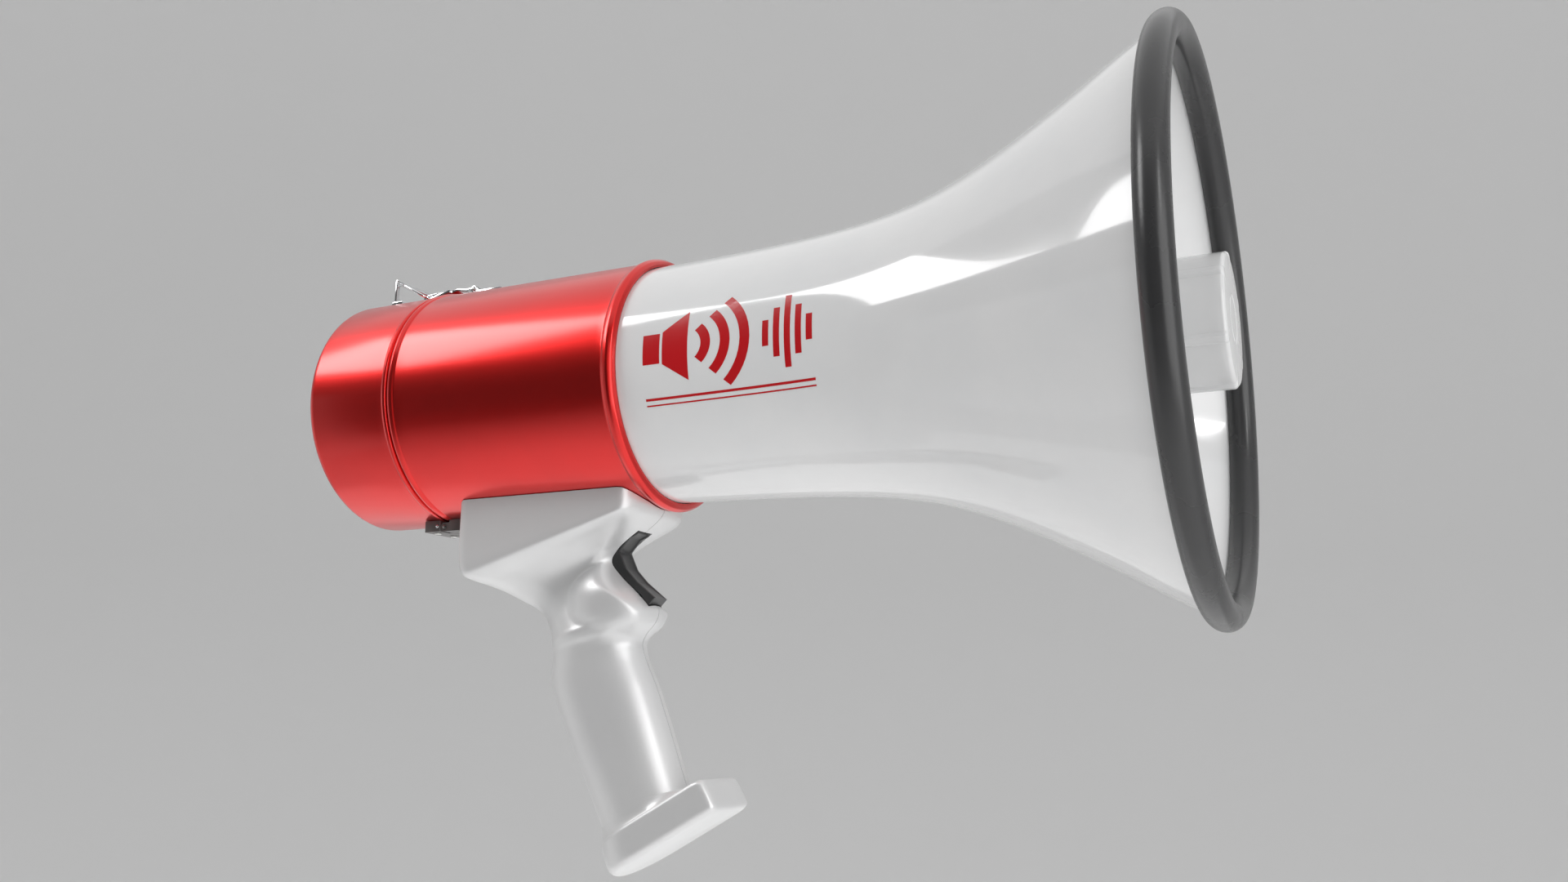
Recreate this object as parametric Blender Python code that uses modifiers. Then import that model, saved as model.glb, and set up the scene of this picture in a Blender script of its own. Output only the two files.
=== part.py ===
"""Handheld megaphone with a reflex horn, battery drum, hinged rear cover and pistol grip.

Frame: the origin is the middle of the flat nose of the driver cap, on the horn axis.
+X points out of the mouth, +Z up, and the grip hangs towards -Z. Sizes are in millimetres
and become metres where a mesh is made.
"""

import math

import bmesh
import bpy
from mathutils import Matrix, Vector

MM = 0.001
GAP = 0.3

# Horn: the bell's radius follows a soft elbow from a straight neck to a straight flare.
MOUTH_X = -10.0
RIM_RADIUS = 105.0
RIM_TUBE = 5.8
BELL_FRONT = -13.1
BELL_BACK = -232.0
BELL_WALL = 2.0
NECK_RADIUS = 48.4
FLARE_SLOPE = 0.593
ELBOW_X = -106.0
ELBOW_SOFTNESS = 41.3

# Drum and rear cover.
LIP_X = -226.8
SEAM_X = -339.2
SEAM_GAP = 0.7
TAIL_X = -384.2
DRUM_RADIUS = 52.9
DRUM_WALL = 2.2
LIP_RADIUS = 54.3
BEAD_RADIUS = 53.75
DRUM_BORE = DRUM_RADIUS - DRUM_WALL

# Driver in the boss.
BOSS_RADIUS = 25.5
BOSS_WALL = 2.2
CAP_BACK = -18.0
HOUSING_BACK = -70.0
TUBE_BACK = -206.0
TUBE_RADIUS = 22.0
TUBE_WALL = 1.8

# Battery pack: two layers of four C cells round a spine.
CELL_RADIUS = 13.1
CELL_LENGTH = 50.0
CELL_RING = 19.0
PACK_BACK = -347.0
TRAY = 2.5

# Rear controls, as (y, z) on the cover's back.
MIC_AT = (0.0, 15.0)
KNOB_AT = (21.0, -20.0)
SWITCH_AT = (-20.0, -20.0)
BUTTON_AT = (0.0, -27.0)
BOARD_X = -369.0
BOARD_THICK = 1.6
FACE_WALL = 2.5

# Hinge and latch axes, as (x, z).
HINGE_AT = (-339.9, -55.3)
LEVER_AT = (-331.3, 55.1)
BAIL_AT = (-359.5, 55.3)
KEEPER_X = -374.6
BAIL_TOP = 62.6
BARREL_RADIUS = 1.5
EYE_RADIUS = 1.25
BAIL_WIRE = 0.62
LATCH_PIN_RADIUS = 0.7
LATCH_PIN_BORE = 0.9

# Handle.
HANDLE_WALL = 2.6
SPLIT = 0.15
SEAT_RADIUS = DRUM_RADIUS + GAP
TRIGGER_HALF = 5.4
TRIGGER_AT = (-248.0, -60.6)
SWITCH_X = -273.0
FOOT_TILT = math.radians(29.0)
SOLE_BACK = (-250.9, -202.9)
FOOT_LENGTH = 59.7
FOOT_HALF = 15.9
FOOT_THICK = 14.0
# Sections from the saddle down to the foot:
# (rear point, front point, half width, rear corner, front corner).
HANDLE_SECTIONS = [
    ((-320.6, -36.0), (-232.0, -36.0), 24.9, (3.2, 3.2), (8.4, 24.3)),
    ((-320.8, -71.0), (-232.1, -51.6), 24.9, (3.4, 3.4), (8.4, 24.3)),
    ((-318.7, -79.6), (-232.9, -54.6), 24.6, (4.4, 4.2), (8.4, 23.4)),
    ((-311.5, -83.7), (-237.0, -59.2), 18.8, (11, 11), (8, 16)),
    ((-300.2, -89.9), (-246.0, -65.4), 13.6, (17, 13), (9, 12)),
    ((-290.4, -95.6), (-253.0, -74.5), 14.0, (18, 13), (10, 12)),
    ((-285.6, -103.2), (-241.6, -87.4), 16.8, (20, 14), (12, 14)),
    ((-284.0, -108.9), (-234.3, -96.4), 17.0, (22, 16), (15, 16)),
    ((-283.7, -113.2), (-239.8, -104.8), 15.2, (22, 14.8), (15, 14.8)),
    ((-284.5, -120.8), (-240.6, -114.0), 14.0, (21, 14), (15, 14)),
    ((-282.4, -130.4), (-235.2, -125.6), 14.0, (21, 14), (15, 14)),
    ((-272.6, -152.0), (-226.6, -147.8), 14.0, (21, 14), (15, 14)),
    ((-265.8, -165.4), (-222.2, -160.0), 14.0, (21, 14), (15, 14)),
]
GRIP_REAR, GRIP_FRONT, GRIP_HALF = 3.6, 44.5, 14.0
CORNER_STEPS = 4

# Fixings: the half shells' screw posts, as (x, z), and the saddle's screws, as (x, y).
POSTS = ((-306.0, -74.0), (-267.0, -118.0), (-250.0, -164.0))
SADDLE_SCREWS = ((-308.0, -13.0), (-308.0, 13.0), (-262.0, -13.0), (-262.0, 13.0))
PIN_RADIUS = 0.9
PIN_BORE = 1.2
SHANK_RADIUS = 1.4
SHANK_HOLE = 1.8

# Turning facets.
ROUND = 40
SMALL_ROUND = 20

FINISHES = {
    "white_plastic": ((0.82, 0.82, 0.82, 1), 0.28, 0.0),
    "red_metal": ((0.62, 0.03, 0.02, 1), 0.3, 0.85),
    "rubber": ((0.055, 0.055, 0.055, 1), 0.5, 0.0),
    "black_plastic": ((0.03, 0.03, 0.03, 1), 0.45, 0.0),
    "chrome": ((0.8, 0.8, 0.8, 1), 0.15, 1.0),
    "steel": ((0.5, 0.5, 0.5, 1), 0.35, 1.0),
    "dark_steel": ((0.09, 0.09, 0.09, 1), 0.45, 0.6),
    "ferrite": ((0.05, 0.05, 0.055, 1), 0.7, 0.0),
    "copper": ((0.7, 0.3, 0.15, 1), 0.35, 1.0),
    "circuit_board": ((0.02, 0.22, 0.08, 1), 0.5, 0.0),
    "cell_wrap": ((0.08, 0.1, 0.16, 1), 0.35, 0.2),
    "red_plastic": ((0.6, 0.02, 0.02, 1), 0.35, 0.0),
}


# ---------------------------------------------------------------- scene and finish


def clear_scene():
    for obj in list(bpy.data.objects):
        bpy.data.objects.remove(obj, do_unlink=True)


def collection(name):
    made = bpy.data.collections.new(name)
    bpy.context.scene.collection.children.link(made)
    return made


def finish(obj, slot):
    colour, roughness, metallic = FINISHES[slot]
    material = bpy.data.materials.new(obj.name)
    material.use_nodes = True
    shader = material.node_tree.nodes["Principled BSDF"]
    shader.inputs["Base Color"].default_value = colour
    shader.inputs["Roughness"].default_value = roughness
    shader.inputs["Metallic"].default_value = metallic
    obj.data.materials.clear()
    obj.data.materials.append(material)


def place(obj, slot=None):
    """A piece with a slot joins the megaphone; one without is a cutter."""
    if slot:
        MEGAPHONE.objects.link(obj)
        finish(obj, slot)
    else:
        CUTTERS.objects.link(obj)
        obj.hide_render = True
        obj.display_type = "WIRE"
    return obj


def scaled(*values):
    return Vector([value * MM for value in values])


# ---------------------------------------------------------------- shapes


def turned(name, slot, profile, at=(0.0, 0.0), segments=ROUND):
    """Spins (x, radius) points, listed front to back down the outer side, about the horn axis."""
    points = [(radius * MM, 0.0, x * MM) for x, radius in profile]
    count = len(points)
    edges = [(i, i + 1) for i in range(count - 1)]
    if profile[0][1] > 0 or profile[-1][1] > 0:
        edges.append((count - 1, 0))
    mesh = bpy.data.meshes.new(name)
    mesh.from_pydata(points, edges, [])
    obj = place(bpy.data.objects.new(name, mesh), slot)
    obj.rotation_euler = (0, math.pi / 2, 0)
    obj.location = scaled(0, at[0], at[1])
    spin = obj.modifiers.new("Spin", "SCREW")
    spin.steps = spin.render_steps = segments
    spin.use_merge_vertices = True
    spin.merge_threshold = 0.00001
    return obj


def disc(front, back, radius):
    """The profile of a solid disc."""
    return [(front, 0.0), (front, radius), (back, radius), (back, 0.0)]


def ring(front, back, outer, inner):
    """The profile of a plain ring or tube."""
    return [(front, outer), (back, outer), (back, inner), (front, inner)]


def rod(name, slot, radius, start, end, segments=SMALL_ROUND):
    """A straight round bar between two points."""
    start, end = scaled(*start), scaled(*end)
    mesh = bpy.data.meshes.new(name)
    shape = bmesh.new()
    bmesh.ops.create_cone(
        shape, cap_ends=True, segments=segments, depth=(end - start).length,
        radius1=radius * MM, radius2=radius * MM,
    )
    shape.to_mesh(mesh)
    shape.free()
    obj = place(bpy.data.objects.new(name, mesh), slot)
    obj.rotation_mode = "QUATERNION"
    obj.rotation_quaternion = (end - start).to_track_quat("Z", "Y")
    obj.location = (start + end) / 2
    return obj


def block(name, slot, low, high, edge=0.0):
    """A box between two corners, with rounded edges if asked."""
    mesh = bpy.data.meshes.new(name)
    shape = bmesh.new()
    bmesh.ops.create_cube(shape, size=1.0)
    size = scaled(*[b - a for a, b in zip(low, high)])
    bmesh.ops.scale(shape, vec=size, verts=shape.verts)
    shape.to_mesh(mesh)
    shape.free()
    obj = place(bpy.data.objects.new(name, mesh), slot)
    obj.location = scaled(*[(a + b) / 2 for a, b in zip(low, high)])
    if edge:
        soften(obj, edge, 1)
    return obj


def soften(obj, width, segments):
    bevel = obj.modifiers.new("Edges", "BEVEL")
    bevel.width = width * MM
    bevel.segments = segments
    bevel.limit_method = "ANGLE"
    bevel.angle_limit = math.radians(35)


def curve_to_mesh(curve_obj, name, slot):
    """Replaces a curve by the closed mesh that it makes."""
    bpy.context.scene.collection.objects.link(curve_obj)
    bpy.context.view_layer.update()
    graph = bpy.context.evaluated_depsgraph_get()
    mesh = bpy.data.meshes.new_from_object(curve_obj.evaluated_get(graph))
    shape = bmesh.new()
    shape.from_mesh(mesh)
    bmesh.ops.remove_doubles(shape, verts=shape.verts, dist=0.000001)
    bmesh.ops.recalc_face_normals(shape, faces=shape.faces)
    shape.to_mesh(mesh)
    shape.free()
    obj = bpy.data.objects.new(name, mesh)
    obj.matrix_world = curve_obj.matrix_world
    bpy.data.objects.remove(curve_obj, do_unlink=True)
    return place(obj, slot)


def plate(name, slot, outline, low_y, high_y):
    """A flat plate whose outline is (x, z) points, standing across the Y axis."""
    curve = bpy.data.curves.new(name, "CURVE")
    curve.dimensions = "2D"
    curve.fill_mode = "BOTH"
    curve.extrude = (high_y - low_y) / 2 * MM
    spline = curve.splines.new("POLY")
    spline.points.add(len(outline) - 1)
    for point, (x, z) in zip(spline.points, outline):
        point.co = (x * MM, z * MM, 0, 1)
    spline.use_cyclic_u = True
    obj = bpy.data.objects.new(name + "_curve", curve)
    obj.rotation_euler = (math.pi / 2, 0, 0)
    obj.location = scaled(0, (low_y + high_y) / 2, 0)
    return curve_to_mesh(obj, name, slot)


def wire(name, slot, points, radius, smoothness=1):
    """A round wire along straight runs between points."""
    curve = bpy.data.curves.new(name, "CURVE")
    curve.dimensions = "3D"
    curve.bevel_depth = radius * MM
    curve.bevel_resolution = smoothness
    curve.use_fill_caps = True
    spline = curve.splines.new("POLY")
    spline.points.add(len(points) - 1)
    for point, place_at in zip(spline.points, points):
        point.co = (*scaled(*place_at), 1)
    return curve_to_mesh(bpy.data.objects.new(name + "_curve", curve), name, slot)


def loft(name, slot, rings):
    """A closed skin through rings that have the same number of points each."""
    mesh = bpy.data.meshes.new(name)
    shape = bmesh.new()
    rows = [[shape.verts.new(scaled(*point)) for point in points] for points in rings]
    count = len(rows[0])
    for upper, lower in zip(rows, rows[1:]):
        for i in range(count):
            j = (i + 1) % count
            shape.faces.new((upper[i], upper[j], lower[j], lower[i]))
    shape.faces.new(rows[0])
    shape.faces.new(list(reversed(rows[-1])))
    bmesh.ops.recalc_face_normals(shape, faces=shape.faces)
    shape.to_mesh(mesh)
    shape.free()
    return place(bpy.data.objects.new(name, mesh), slot)


def boolean(obj, other, operation):
    step = obj.modifiers.new(other.name, "BOOLEAN")
    step.object = other
    step.operation = operation
    step.solver = "EXACT"


def cut(obj, *others):
    for other in others:
        boolean(obj, other, "DIFFERENCE")


def join(obj, *others):
    for other in others:
        boolean(obj, other, "UNION")


# ---------------------------------------------------------------- horn


def bell_radius(x):
    """Outer radius of the bell: a neck, a soft elbow and a straight flare."""
    reach = x - ELBOW_X
    return NECK_RADIUS + FLARE_SLOPE / 2 * (reach + math.hypot(reach, ELBOW_SOFTNESS))


def bell_profile(front, back, outside, inside, steps):
    """The bell's wall, grown by the two offsets from its outer face."""
    xs = [front + (back - front) * i / steps for i in range(steps + 1)]
    outer = [(x, bell_radius(x) + outside) for x in xs]
    inner = [(x, bell_radius(x) + inside) for x in reversed(xs)]
    return outer + inner


def build_bell():
    turned("horn_bell", "white_plastic", bell_profile(BELL_FRONT, BELL_BACK, 0, -BELL_WALL, 9))
    groove = turned(
        "rim_groove", None,
        bell_profile(BELL_FRONT + GAP, MOUTH_X - 14, GAP, -BELL_WALL - GAP, 2),
    )
    turns = 10
    profile = []
    for i in range(turns):
        angle = -2 * math.pi * i / turns
        profile.append((
            MOUTH_X + RIM_TUBE * math.cos(angle + math.pi / 2),
            RIM_RADIUS + RIM_TUBE * math.sin(angle + math.pi / 2),
        ))
    rim = turned("rim_ring", "rubber", list(reversed(profile)))
    cut(rim, groove)


def build_reflex_path():
    """The parts that fold the sound path inside the bell."""
    dish = [(-214.0, 0.0), (-216.0, 6.0), (-221.5, 12.0), (-226.5, 22.0), (-227.5, 32.0),
            (-224.0, 42.0), (-217.0, 47.6), (-231.6, 47.6), (-231.6, 0.0)]
    turned("reflector_cup", "white_plastic", dish, segments=28)
    straight_front, straight_back = -150.0, -200.0
    outer = [(HOUSING_BACK - GAP, 10.6), (straight_front, TUBE_RADIUS),
             (straight_back, TUBE_RADIUS), (TUBE_BACK, TUBE_RADIUS + 4)]
    inner = [(x, radius - TUBE_WALL) for x, radius in reversed(outer)]
    turned("tone_tube", "white_plastic", outer + inner, segments=24)
    hub = turned(
        "tube_spider", "white_plastic",
        ring(-178.0, -192.0, TUBE_RADIUS + GAP + 1.8, TUBE_RADIUS + GAP), segments=24,
    )
    for number in range(3):
        vane = block("vane_%d" % number, None, (-191, -1.0, 23.0), (-179, 1.0, 48.4))
        turn = Matrix.Rotation(math.radians(120 * number), 4, "X")
        vane.matrix_world = turn @ Matrix.Translation(vane.location)
        join(hub, vane)


def build_driver():
    """The compression driver in the boss, facing back into the tone tube."""
    cap = [(0.0, 0.0), (0.0, 22.5), (-1.6, 24.6), (-4.0, BOSS_RADIUS), (CAP_BACK, BOSS_RADIUS),
           (CAP_BACK, BOSS_RADIUS - BOSS_WALL), (-2.6, BOSS_RADIUS - 2.6), (-2.6, 0.0)]
    turned("driver_cap", "white_plastic", cap, segments=32)
    shell = [(CAP_BACK - GAP, BOSS_RADIUS), (-50.0, BOSS_RADIUS), (HOUSING_BACK, 16.0),
             (HOUSING_BACK, 8.8), (HOUSING_BACK + 3, 8.8), (-49.0, BOSS_RADIUS - BOSS_WALL),
             (CAP_BACK - GAP, BOSS_RADIUS - BOSS_WALL)]
    turned("driver_housing", "white_plastic", shell, segments=28)
    yoke = [(-21.0, 0.0), (-21.0, 21.0), (-25.0, 21.0), (-25.0, 7.5), (-37.0, 7.5), (-37.0, 0.0)]
    turned("driver_yoke", "steel", yoke, segments=20)
    turned("driver_magnet", "ferrite", ring(-25.3, -33.0, 22.0, 11.0), segments=20)
    turned("driver_top_plate", "steel", ring(-33.3, -37.0, 21.0, 9.2), segments=20)
    turned("voice_coil", "copper", ring(-31.0, -39.0, 8.7, 8.0), segments=20)
    dome = [(-43.2, 0.0), (-42.0, 5.9), (-39.3, 8.6), (-39.3, 20.5), (-40.2, 20.5), (-40.2, 9.2),
            (-42.6, 6.4), (-43.9, 0.0)]
    turned("diaphragm", "black_plastic", dome, segments=20)


# ---------------------------------------------------------------- drum, battery and cover


def build_drum():
    front = [(LIP_X, DRUM_RADIUS - 1.0), (LIP_X - 0.7, LIP_RADIUS - 0.9), (LIP_X - 2.4, LIP_RADIUS),
             (LIP_X - 4.2, LIP_RADIUS - 0.4), (LIP_X - 5.6, DRUM_RADIUS)]
    bead = [(SEAM_X + 3.4, DRUM_RADIUS), (SEAM_X + 2.7, BEAD_RADIUS - 0.3),
            (SEAM_X + 1.5, BEAD_RADIUS), (SEAM_X + 0.4, BEAD_RADIUS - 0.3),
            (SEAM_X, DRUM_RADIUS - 0.2)]
    bore = [(SEAM_X, DRUM_BORE), (LIP_X, DRUM_BORE)]
    drum = turned("drum_body", "red_metal", front + bead + bore)
    notch = block("hinge_notch", None, (SEAM_X - 2, -11.5, -60), (SEAM_X + 5, 11.5, -40))
    cut(notch, turned("bead_root", None, disc(SEAM_X + 10, SEAM_X - 10, DRUM_RADIUS)))
    cut(drum, notch)
    gasket = ring(SEAM_X + 2.5, SEAM_X - 1.8, DRUM_BORE - GAP, DRUM_BORE - 1.9)
    turned("seam_gasket", "rubber", gasket, segments=32)
    return drum


def build_battery_pack():
    rear_tray = PACK_BACK + TRAY
    middle = rear_tray + GAP + CELL_LENGTH
    front_tray = middle + GAP + CELL_LENGTH + GAP
    turned("battery_tray_rear", "black_plastic", disc(rear_tray, PACK_BACK, 44.0), segments=24)
    turned(
        "battery_tray_front", "black_plastic",
        disc(front_tray + TRAY, front_tray, DRUM_BORE - 2 * GAP), segments=28,
    )
    turned("battery_spine", "black_plastic", disc(front_tray - GAP, rear_tray + GAP, 5.0),
           segments=16)
    for layer in range(2):
        back = rear_tray + GAP + layer * (CELL_LENGTH + GAP)
        for quarter in range(4):
            build_cell(layer, quarter, back)


def build_cell(layer, quarter, back):
    angle = math.radians(45 + 90 * quarter)
    at = (CELL_RING * math.cos(angle), CELL_RING * math.sin(angle))
    front = back + CELL_LENGTH
    profile = [(front, 0.0), (front, 3.2), (front - 1.8, 3.2), (front - 1.8, CELL_RADIUS - 0.8),
               (front - 2.6, CELL_RADIUS), (back + 0.6, CELL_RADIUS), (back, CELL_RADIUS - 0.8),
               (back, 0.0)]
    name = "battery_cell_%d" % (layer * 4 + quarter + 1)
    turned(name, "cell_wrap", profile, at=at, segments=16)


def build_cover():
    corner = 5.0
    front = SEAM_X - SEAM_GAP
    outer = [(front, DRUM_RADIUS)]
    for step in range(4):
        angle = math.radians(30 * step)
        outer.append((
            TAIL_X + corner - corner * math.sin(angle),
            DRUM_RADIUS - corner + corner * math.cos(angle),
        ))
    inside = [(TAIL_X + FACE_WALL, 0.0), (TAIL_X + FACE_WALL, DRUM_BORE - 3.0), (TAIL_X + 5.5, DRUM_BORE),
              (front, DRUM_BORE)]
    cover = turned("rear_cover", "red_metal", inside + outer + [(TAIL_X, 0.0)])
    cut_control_holes(cover)


def cut_control_holes(cover):
    far, near = TAIL_X - 3, TAIL_X + 8
    mic = rod("mic_hole", None, 8.4, (far, *MIC_AT), (near, *MIC_AT), 24)
    shaft = rod("shaft_hole", None, 3.8, (far, *KNOB_AT), (near, *KNOB_AT), 16)
    button = rod("button_hole", None, 5.4, (far, *BUTTON_AT), (near, *BUTTON_AT), 16)
    y, z = SWITCH_AT
    slot = block("switch_slot", None, (far, y - 7.5, z - 2.6), (near, y + 7.5, z + 2.6))
    cut(cover, mic, shaft, button, slot)


def build_cover_contents():
    """The amplifier board and what stands on it."""
    turned("amplifier_board", "circuit_board", disc(BOARD_X + BOARD_THICK, BOARD_X, 45.0), segments=32)
    face = BOARD_X + BOARD_THICK + GAP
    block("heat_sink", "steel", (face, -30, 8), (face + 12, -8, 22))
    fins(face)
    block("output_transformer", "dark_steel", (face, 4, -14), (face + 13, 26, 6), 0.8)
    for number, y in enumerate((-26, -13)):
        turned("capacitor_%d" % (number + 1), "black_plastic",
               disc(face + 14, face, 5.0), at=(y, -18), segments=16)
    back = TAIL_X + FACE_WALL + GAP
    turned("mic_capsule", "black_plastic", disc(back + 7.5, TAIL_X + 0.6, 8.0), at=MIC_AT,
           segments=24)
    turned("volume_pot", "steel", disc(BOARD_X - GAP, back, 8.0), at=KNOB_AT, segments=20)
    y, z = SWITCH_AT
    block("switch_body", "black_plastic", (back, y - 8.5, z - 4.5), (BOARD_X - GAP, y + 8.5, z + 4.5))


def fins(face):
    """Grooves between the heat sink's fins."""
    sink = bpy.data.objects["heat_sink"]
    for number in range(4):
        low = -28.0 + 5.0 * number
        cut(sink, block("fin_gap_%d" % number, None, (face + 3, low, 0), (face + 20, low + 2.6, 30)))


def build_controls():
    """What a hand reaches on the back of the cover."""
    grille = [(TAIL_X - GAP, 0.0), (TAIL_X - GAP, 17.5), (TAIL_X - 1.4, 17.5), (TAIL_X - 3.6, 14.0),
              (TAIL_X - 4.4, 0.0)]
    turned("mic_grille", "black_plastic", grille, at=MIC_AT, segments=24)
    cut_grille_slots()
    build_knob()
    y, z = SWITCH_AT
    block("switch_slider", "black_plastic", (TAIL_X - 3.6, y - 6.8, z - 2.0),
          (TAIL_X + 2.4, y - 0.8, z + 2.0), 0.5)
    button = [(TAIL_X + 4.0, 0.0), (TAIL_X + 4.0, 6.4), (TAIL_X + 3.2, 6.4), (TAIL_X + 3.2, 4.9),
              (TAIL_X - 3.0, 4.9), (TAIL_X - 3.6, 4.2), (TAIL_X - 3.6, 0.0)]
    turned("siren_button", "red_plastic", button, at=BUTTON_AT, segments=20)


def cut_grille_slots():
    grille = bpy.data.objects["mic_grille"]
    y, z = MIC_AT
    for number in range(-2, 3):
        reach = 11.5 if abs(number) < 2 else 8.0
        low = (TAIL_X - 8, y - reach, z + 4.6 * number - 0.9)
        high = (TAIL_X + 2, y + reach, z + 4.6 * number + 0.9)
        cut(grille, block("grille_slot_%d" % (number + 2), None, low, high))


def build_knob():
    """The knob turns about its shaft, which passes through the cover to the potentiometer."""
    face = TAIL_X - GAP
    profile = [(TAIL_X + 2.4, 0.0), (TAIL_X + 2.4, 3.0), (face, 3.0), (face, 9.0),
               (face - 6.5, 8.4), (face - 8.0, 7.2), (face - 8.0, 0.0)]
    turned("volume_knob", "black_plastic", profile, at=KNOB_AT, segments=24)
    y, z = KNOB_AT
    knob = bpy.data.objects["volume_knob"]
    cut(knob, block("pointer_groove", None, (face - 12, y - 0.6, z + 2), (face - 7.2, y + 0.6, z + 10)))


# ---------------------------------------------------------------- hinge and latch


def build_hinge(seat):
    """Two leaves under the seam, with the drum's knuckles outside the cover's."""
    x, z = HINGE_AT
    bottom, top, half, middle = z - 2.0, -48.0, 9.8, 3.3
    drum_leaf = block("hinge_leaf_drum", "dark_steel", (x + 2.4, -half, bottom), (x + 12, half, top))
    cover_leaf = block("hinge_leaf_cover", "dark_steel", (x - 11, -half, bottom), (x - 2.4, half, top))
    for number, (low, high) in enumerate(((-half, -middle), (middle, half))):
        join(drum_leaf, knuckle("drum_knuckle_%d" % number, low, high, 1))
    join(cover_leaf, knuckle("cover_knuckle", -middle + GAP, middle - GAP, -1))
    bore = rod("hinge_bore", None, PIN_BORE, (x, -15, z), (x, 15, z), 16)
    cut(drum_leaf, seat, bore)
    cut(cover_leaf, seat, bore)
    rod("hinge_pin", "steel", PIN_RADIUS, (x, -half - 0.2, z), (x, half + 0.2, z), 12)


def knuckle(name, low, high, side):
    """A barrel round the pin with a web that reaches its leaf."""
    x, z = HINGE_AT
    reach = 1.9
    outline = [(x + 3.0 * side, z - 2.0), (x, z - 2.0)]
    for step in range(1, 6):
        angle = math.radians(-90 - 30 * step * side)
        outline.append((x + 2.0 * math.cos(angle), z + 2.0 * math.sin(angle)))
    outline += [(x, z + reach), (x + 3.0 * side, z + reach)]
    return plate(name, None, outline, low, high)


def build_latch(seat):
    """Base plate and lever on the drum, bail on the lever, keeper on the cover."""
    x, z = LEVER_AT
    base = block("latch_base", "chrome", (x + 2.2, -9.0, 52.0), (x + 16.0, 9.0, 54.1))
    cut(base, seat)
    for side in (-1, 1):
        low, high = sorted((side * 6.6, side * 8.2))
        ear = [(x - 1.7, z), (x - 1.1, z + 1.3), (x, z + 1.7), (x + 1.6, z + 1.5), (x + 6.0, 54.0),
               (x + 6.0, 53.4), (x, 53.4), (x - 1.3, z - 1.1)]
        join(base, plate("ear_%d" % side, None, ear, low, high))
    cut(base, rod("ear_bore", None, LATCH_PIN_BORE, (x, -12, z), (x, 12, z), 16))
    rod("latch_pin", "steel", LATCH_PIN_RADIUS, (x, -8.8, z), (x, 8.8, z), 12)
    build_lever()
    build_bail()
    build_keeper(seat)


def build_lever():
    """A bent strip from its barrel on the drum to the bail's eye over the cover."""
    x, z = LEVER_AT
    tail_x, tail_z = BAIL_AT
    barrel, eye = BARREL_RADIUS, EYE_RADIUS
    strip = [(x + 0.6 * barrel, z + barrel), (-343.7, 58.1), (tail_x, tail_z + eye),
             (tail_x - eye, tail_z), (tail_x, tail_z - eye), (tail_x + eye, tail_z), (-343.9, 57.1),
             (x - barrel, z + 0.5), (x - 0.7 * barrel, z - 0.7 * barrel), (x, z - barrel),
             (x + 0.7 * barrel, z - 0.7 * barrel), (x + barrel, z)]
    lever = plate("latch_lever", "chrome", strip, -6.0, 6.0)
    cut(lever, rod("lever_bore", None, LATCH_PIN_BORE, (x, -9, z), (x, 9, z), 16))
    cut(lever, rod("eye_bore", None, BAIL_WIRE + 0.2, (tail_x, -9, tail_z), (tail_x, 9, tail_z), 12))


def build_bail():
    """A closed wire loop through the lever's eye, whose crossbar rests against the keeper."""
    x, z = BAIL_AT
    bar_x = KEEPER_X + 2.6
    half = 9.5
    loop = wire("latch_bail", "chrome", [(x, -half, z), (bar_x, -half, BAIL_TOP),
                                         (bar_x, half, BAIL_TOP), (x, half, z)], BAIL_WIRE)
    join(loop, rod("bail_axle", None, BAIL_WIRE - 0.02, (x, -half, z), (x, half, z), 12))


def build_keeper(seat):
    """A bent plate that stands on the cover."""
    x = KEEPER_X
    outline = [(x - 2.0, 50.0), (x - 2.0, 54.2), (x - 0.8, 54.2), (x - 0.8, 64.0), (x, 65.0),
               (x + 1.3, 64.5), (x + 0.8, 63.4), (x + 0.8, 54.2), (x + 4.2, 54.2), (x + 4.2, 50.0)]
    keeper = plate("latch_keeper", "chrome", outline, -11.5, 11.5)
    cut(keeper, seat)


# ---------------------------------------------------------------- handle


def section(rear, front, half, rear_corner, front_corner, inset=0.0):
    """Points round one section of the handle, between a rear and a front point (x, z).

    Each corner is a quarter ellipse given as (length, width). An inset shrinks the section.
    """
    rear, front = Vector((rear[0], 0, rear[1])), Vector((front[0], 0, front[1]))
    along = (front - rear).normalized()
    rear, front = rear + along * inset, front - along * inset
    length = (front - rear).length
    half -= inset
    points = []
    for end, side, (long, wide) in (
        (1, -1, front_corner), (1, 1, front_corner), (-1, 1, rear_corner), (-1, -1, rear_corner),
    ):
        long, wide = min(long, length / 2 - 0.01), min(wide, half - 0.01)
        quarter = range(CORNER_STEPS + 1)
        for step in quarter if end * side < 0 else reversed(quarter):
            angle = math.pi / 2 * (1 - step / CORNER_STEPS)
            across = (half - wide + wide * math.sin(angle)) * side
            forward = (length / 2 - long + long * math.cos(angle)) * end
            centre = rear + along * (length / 2 + forward)
            points.append((centre.x, across, centre.z))
    return points


def grip_end(up, inset):
    """The grip's section at a height above the sole."""
    rear, front = foot_point(GRIP_REAR, up), foot_point(GRIP_FRONT, up)
    return section(rear, front, GRIP_HALF, (21, 14), (21, 14), inset)


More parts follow.
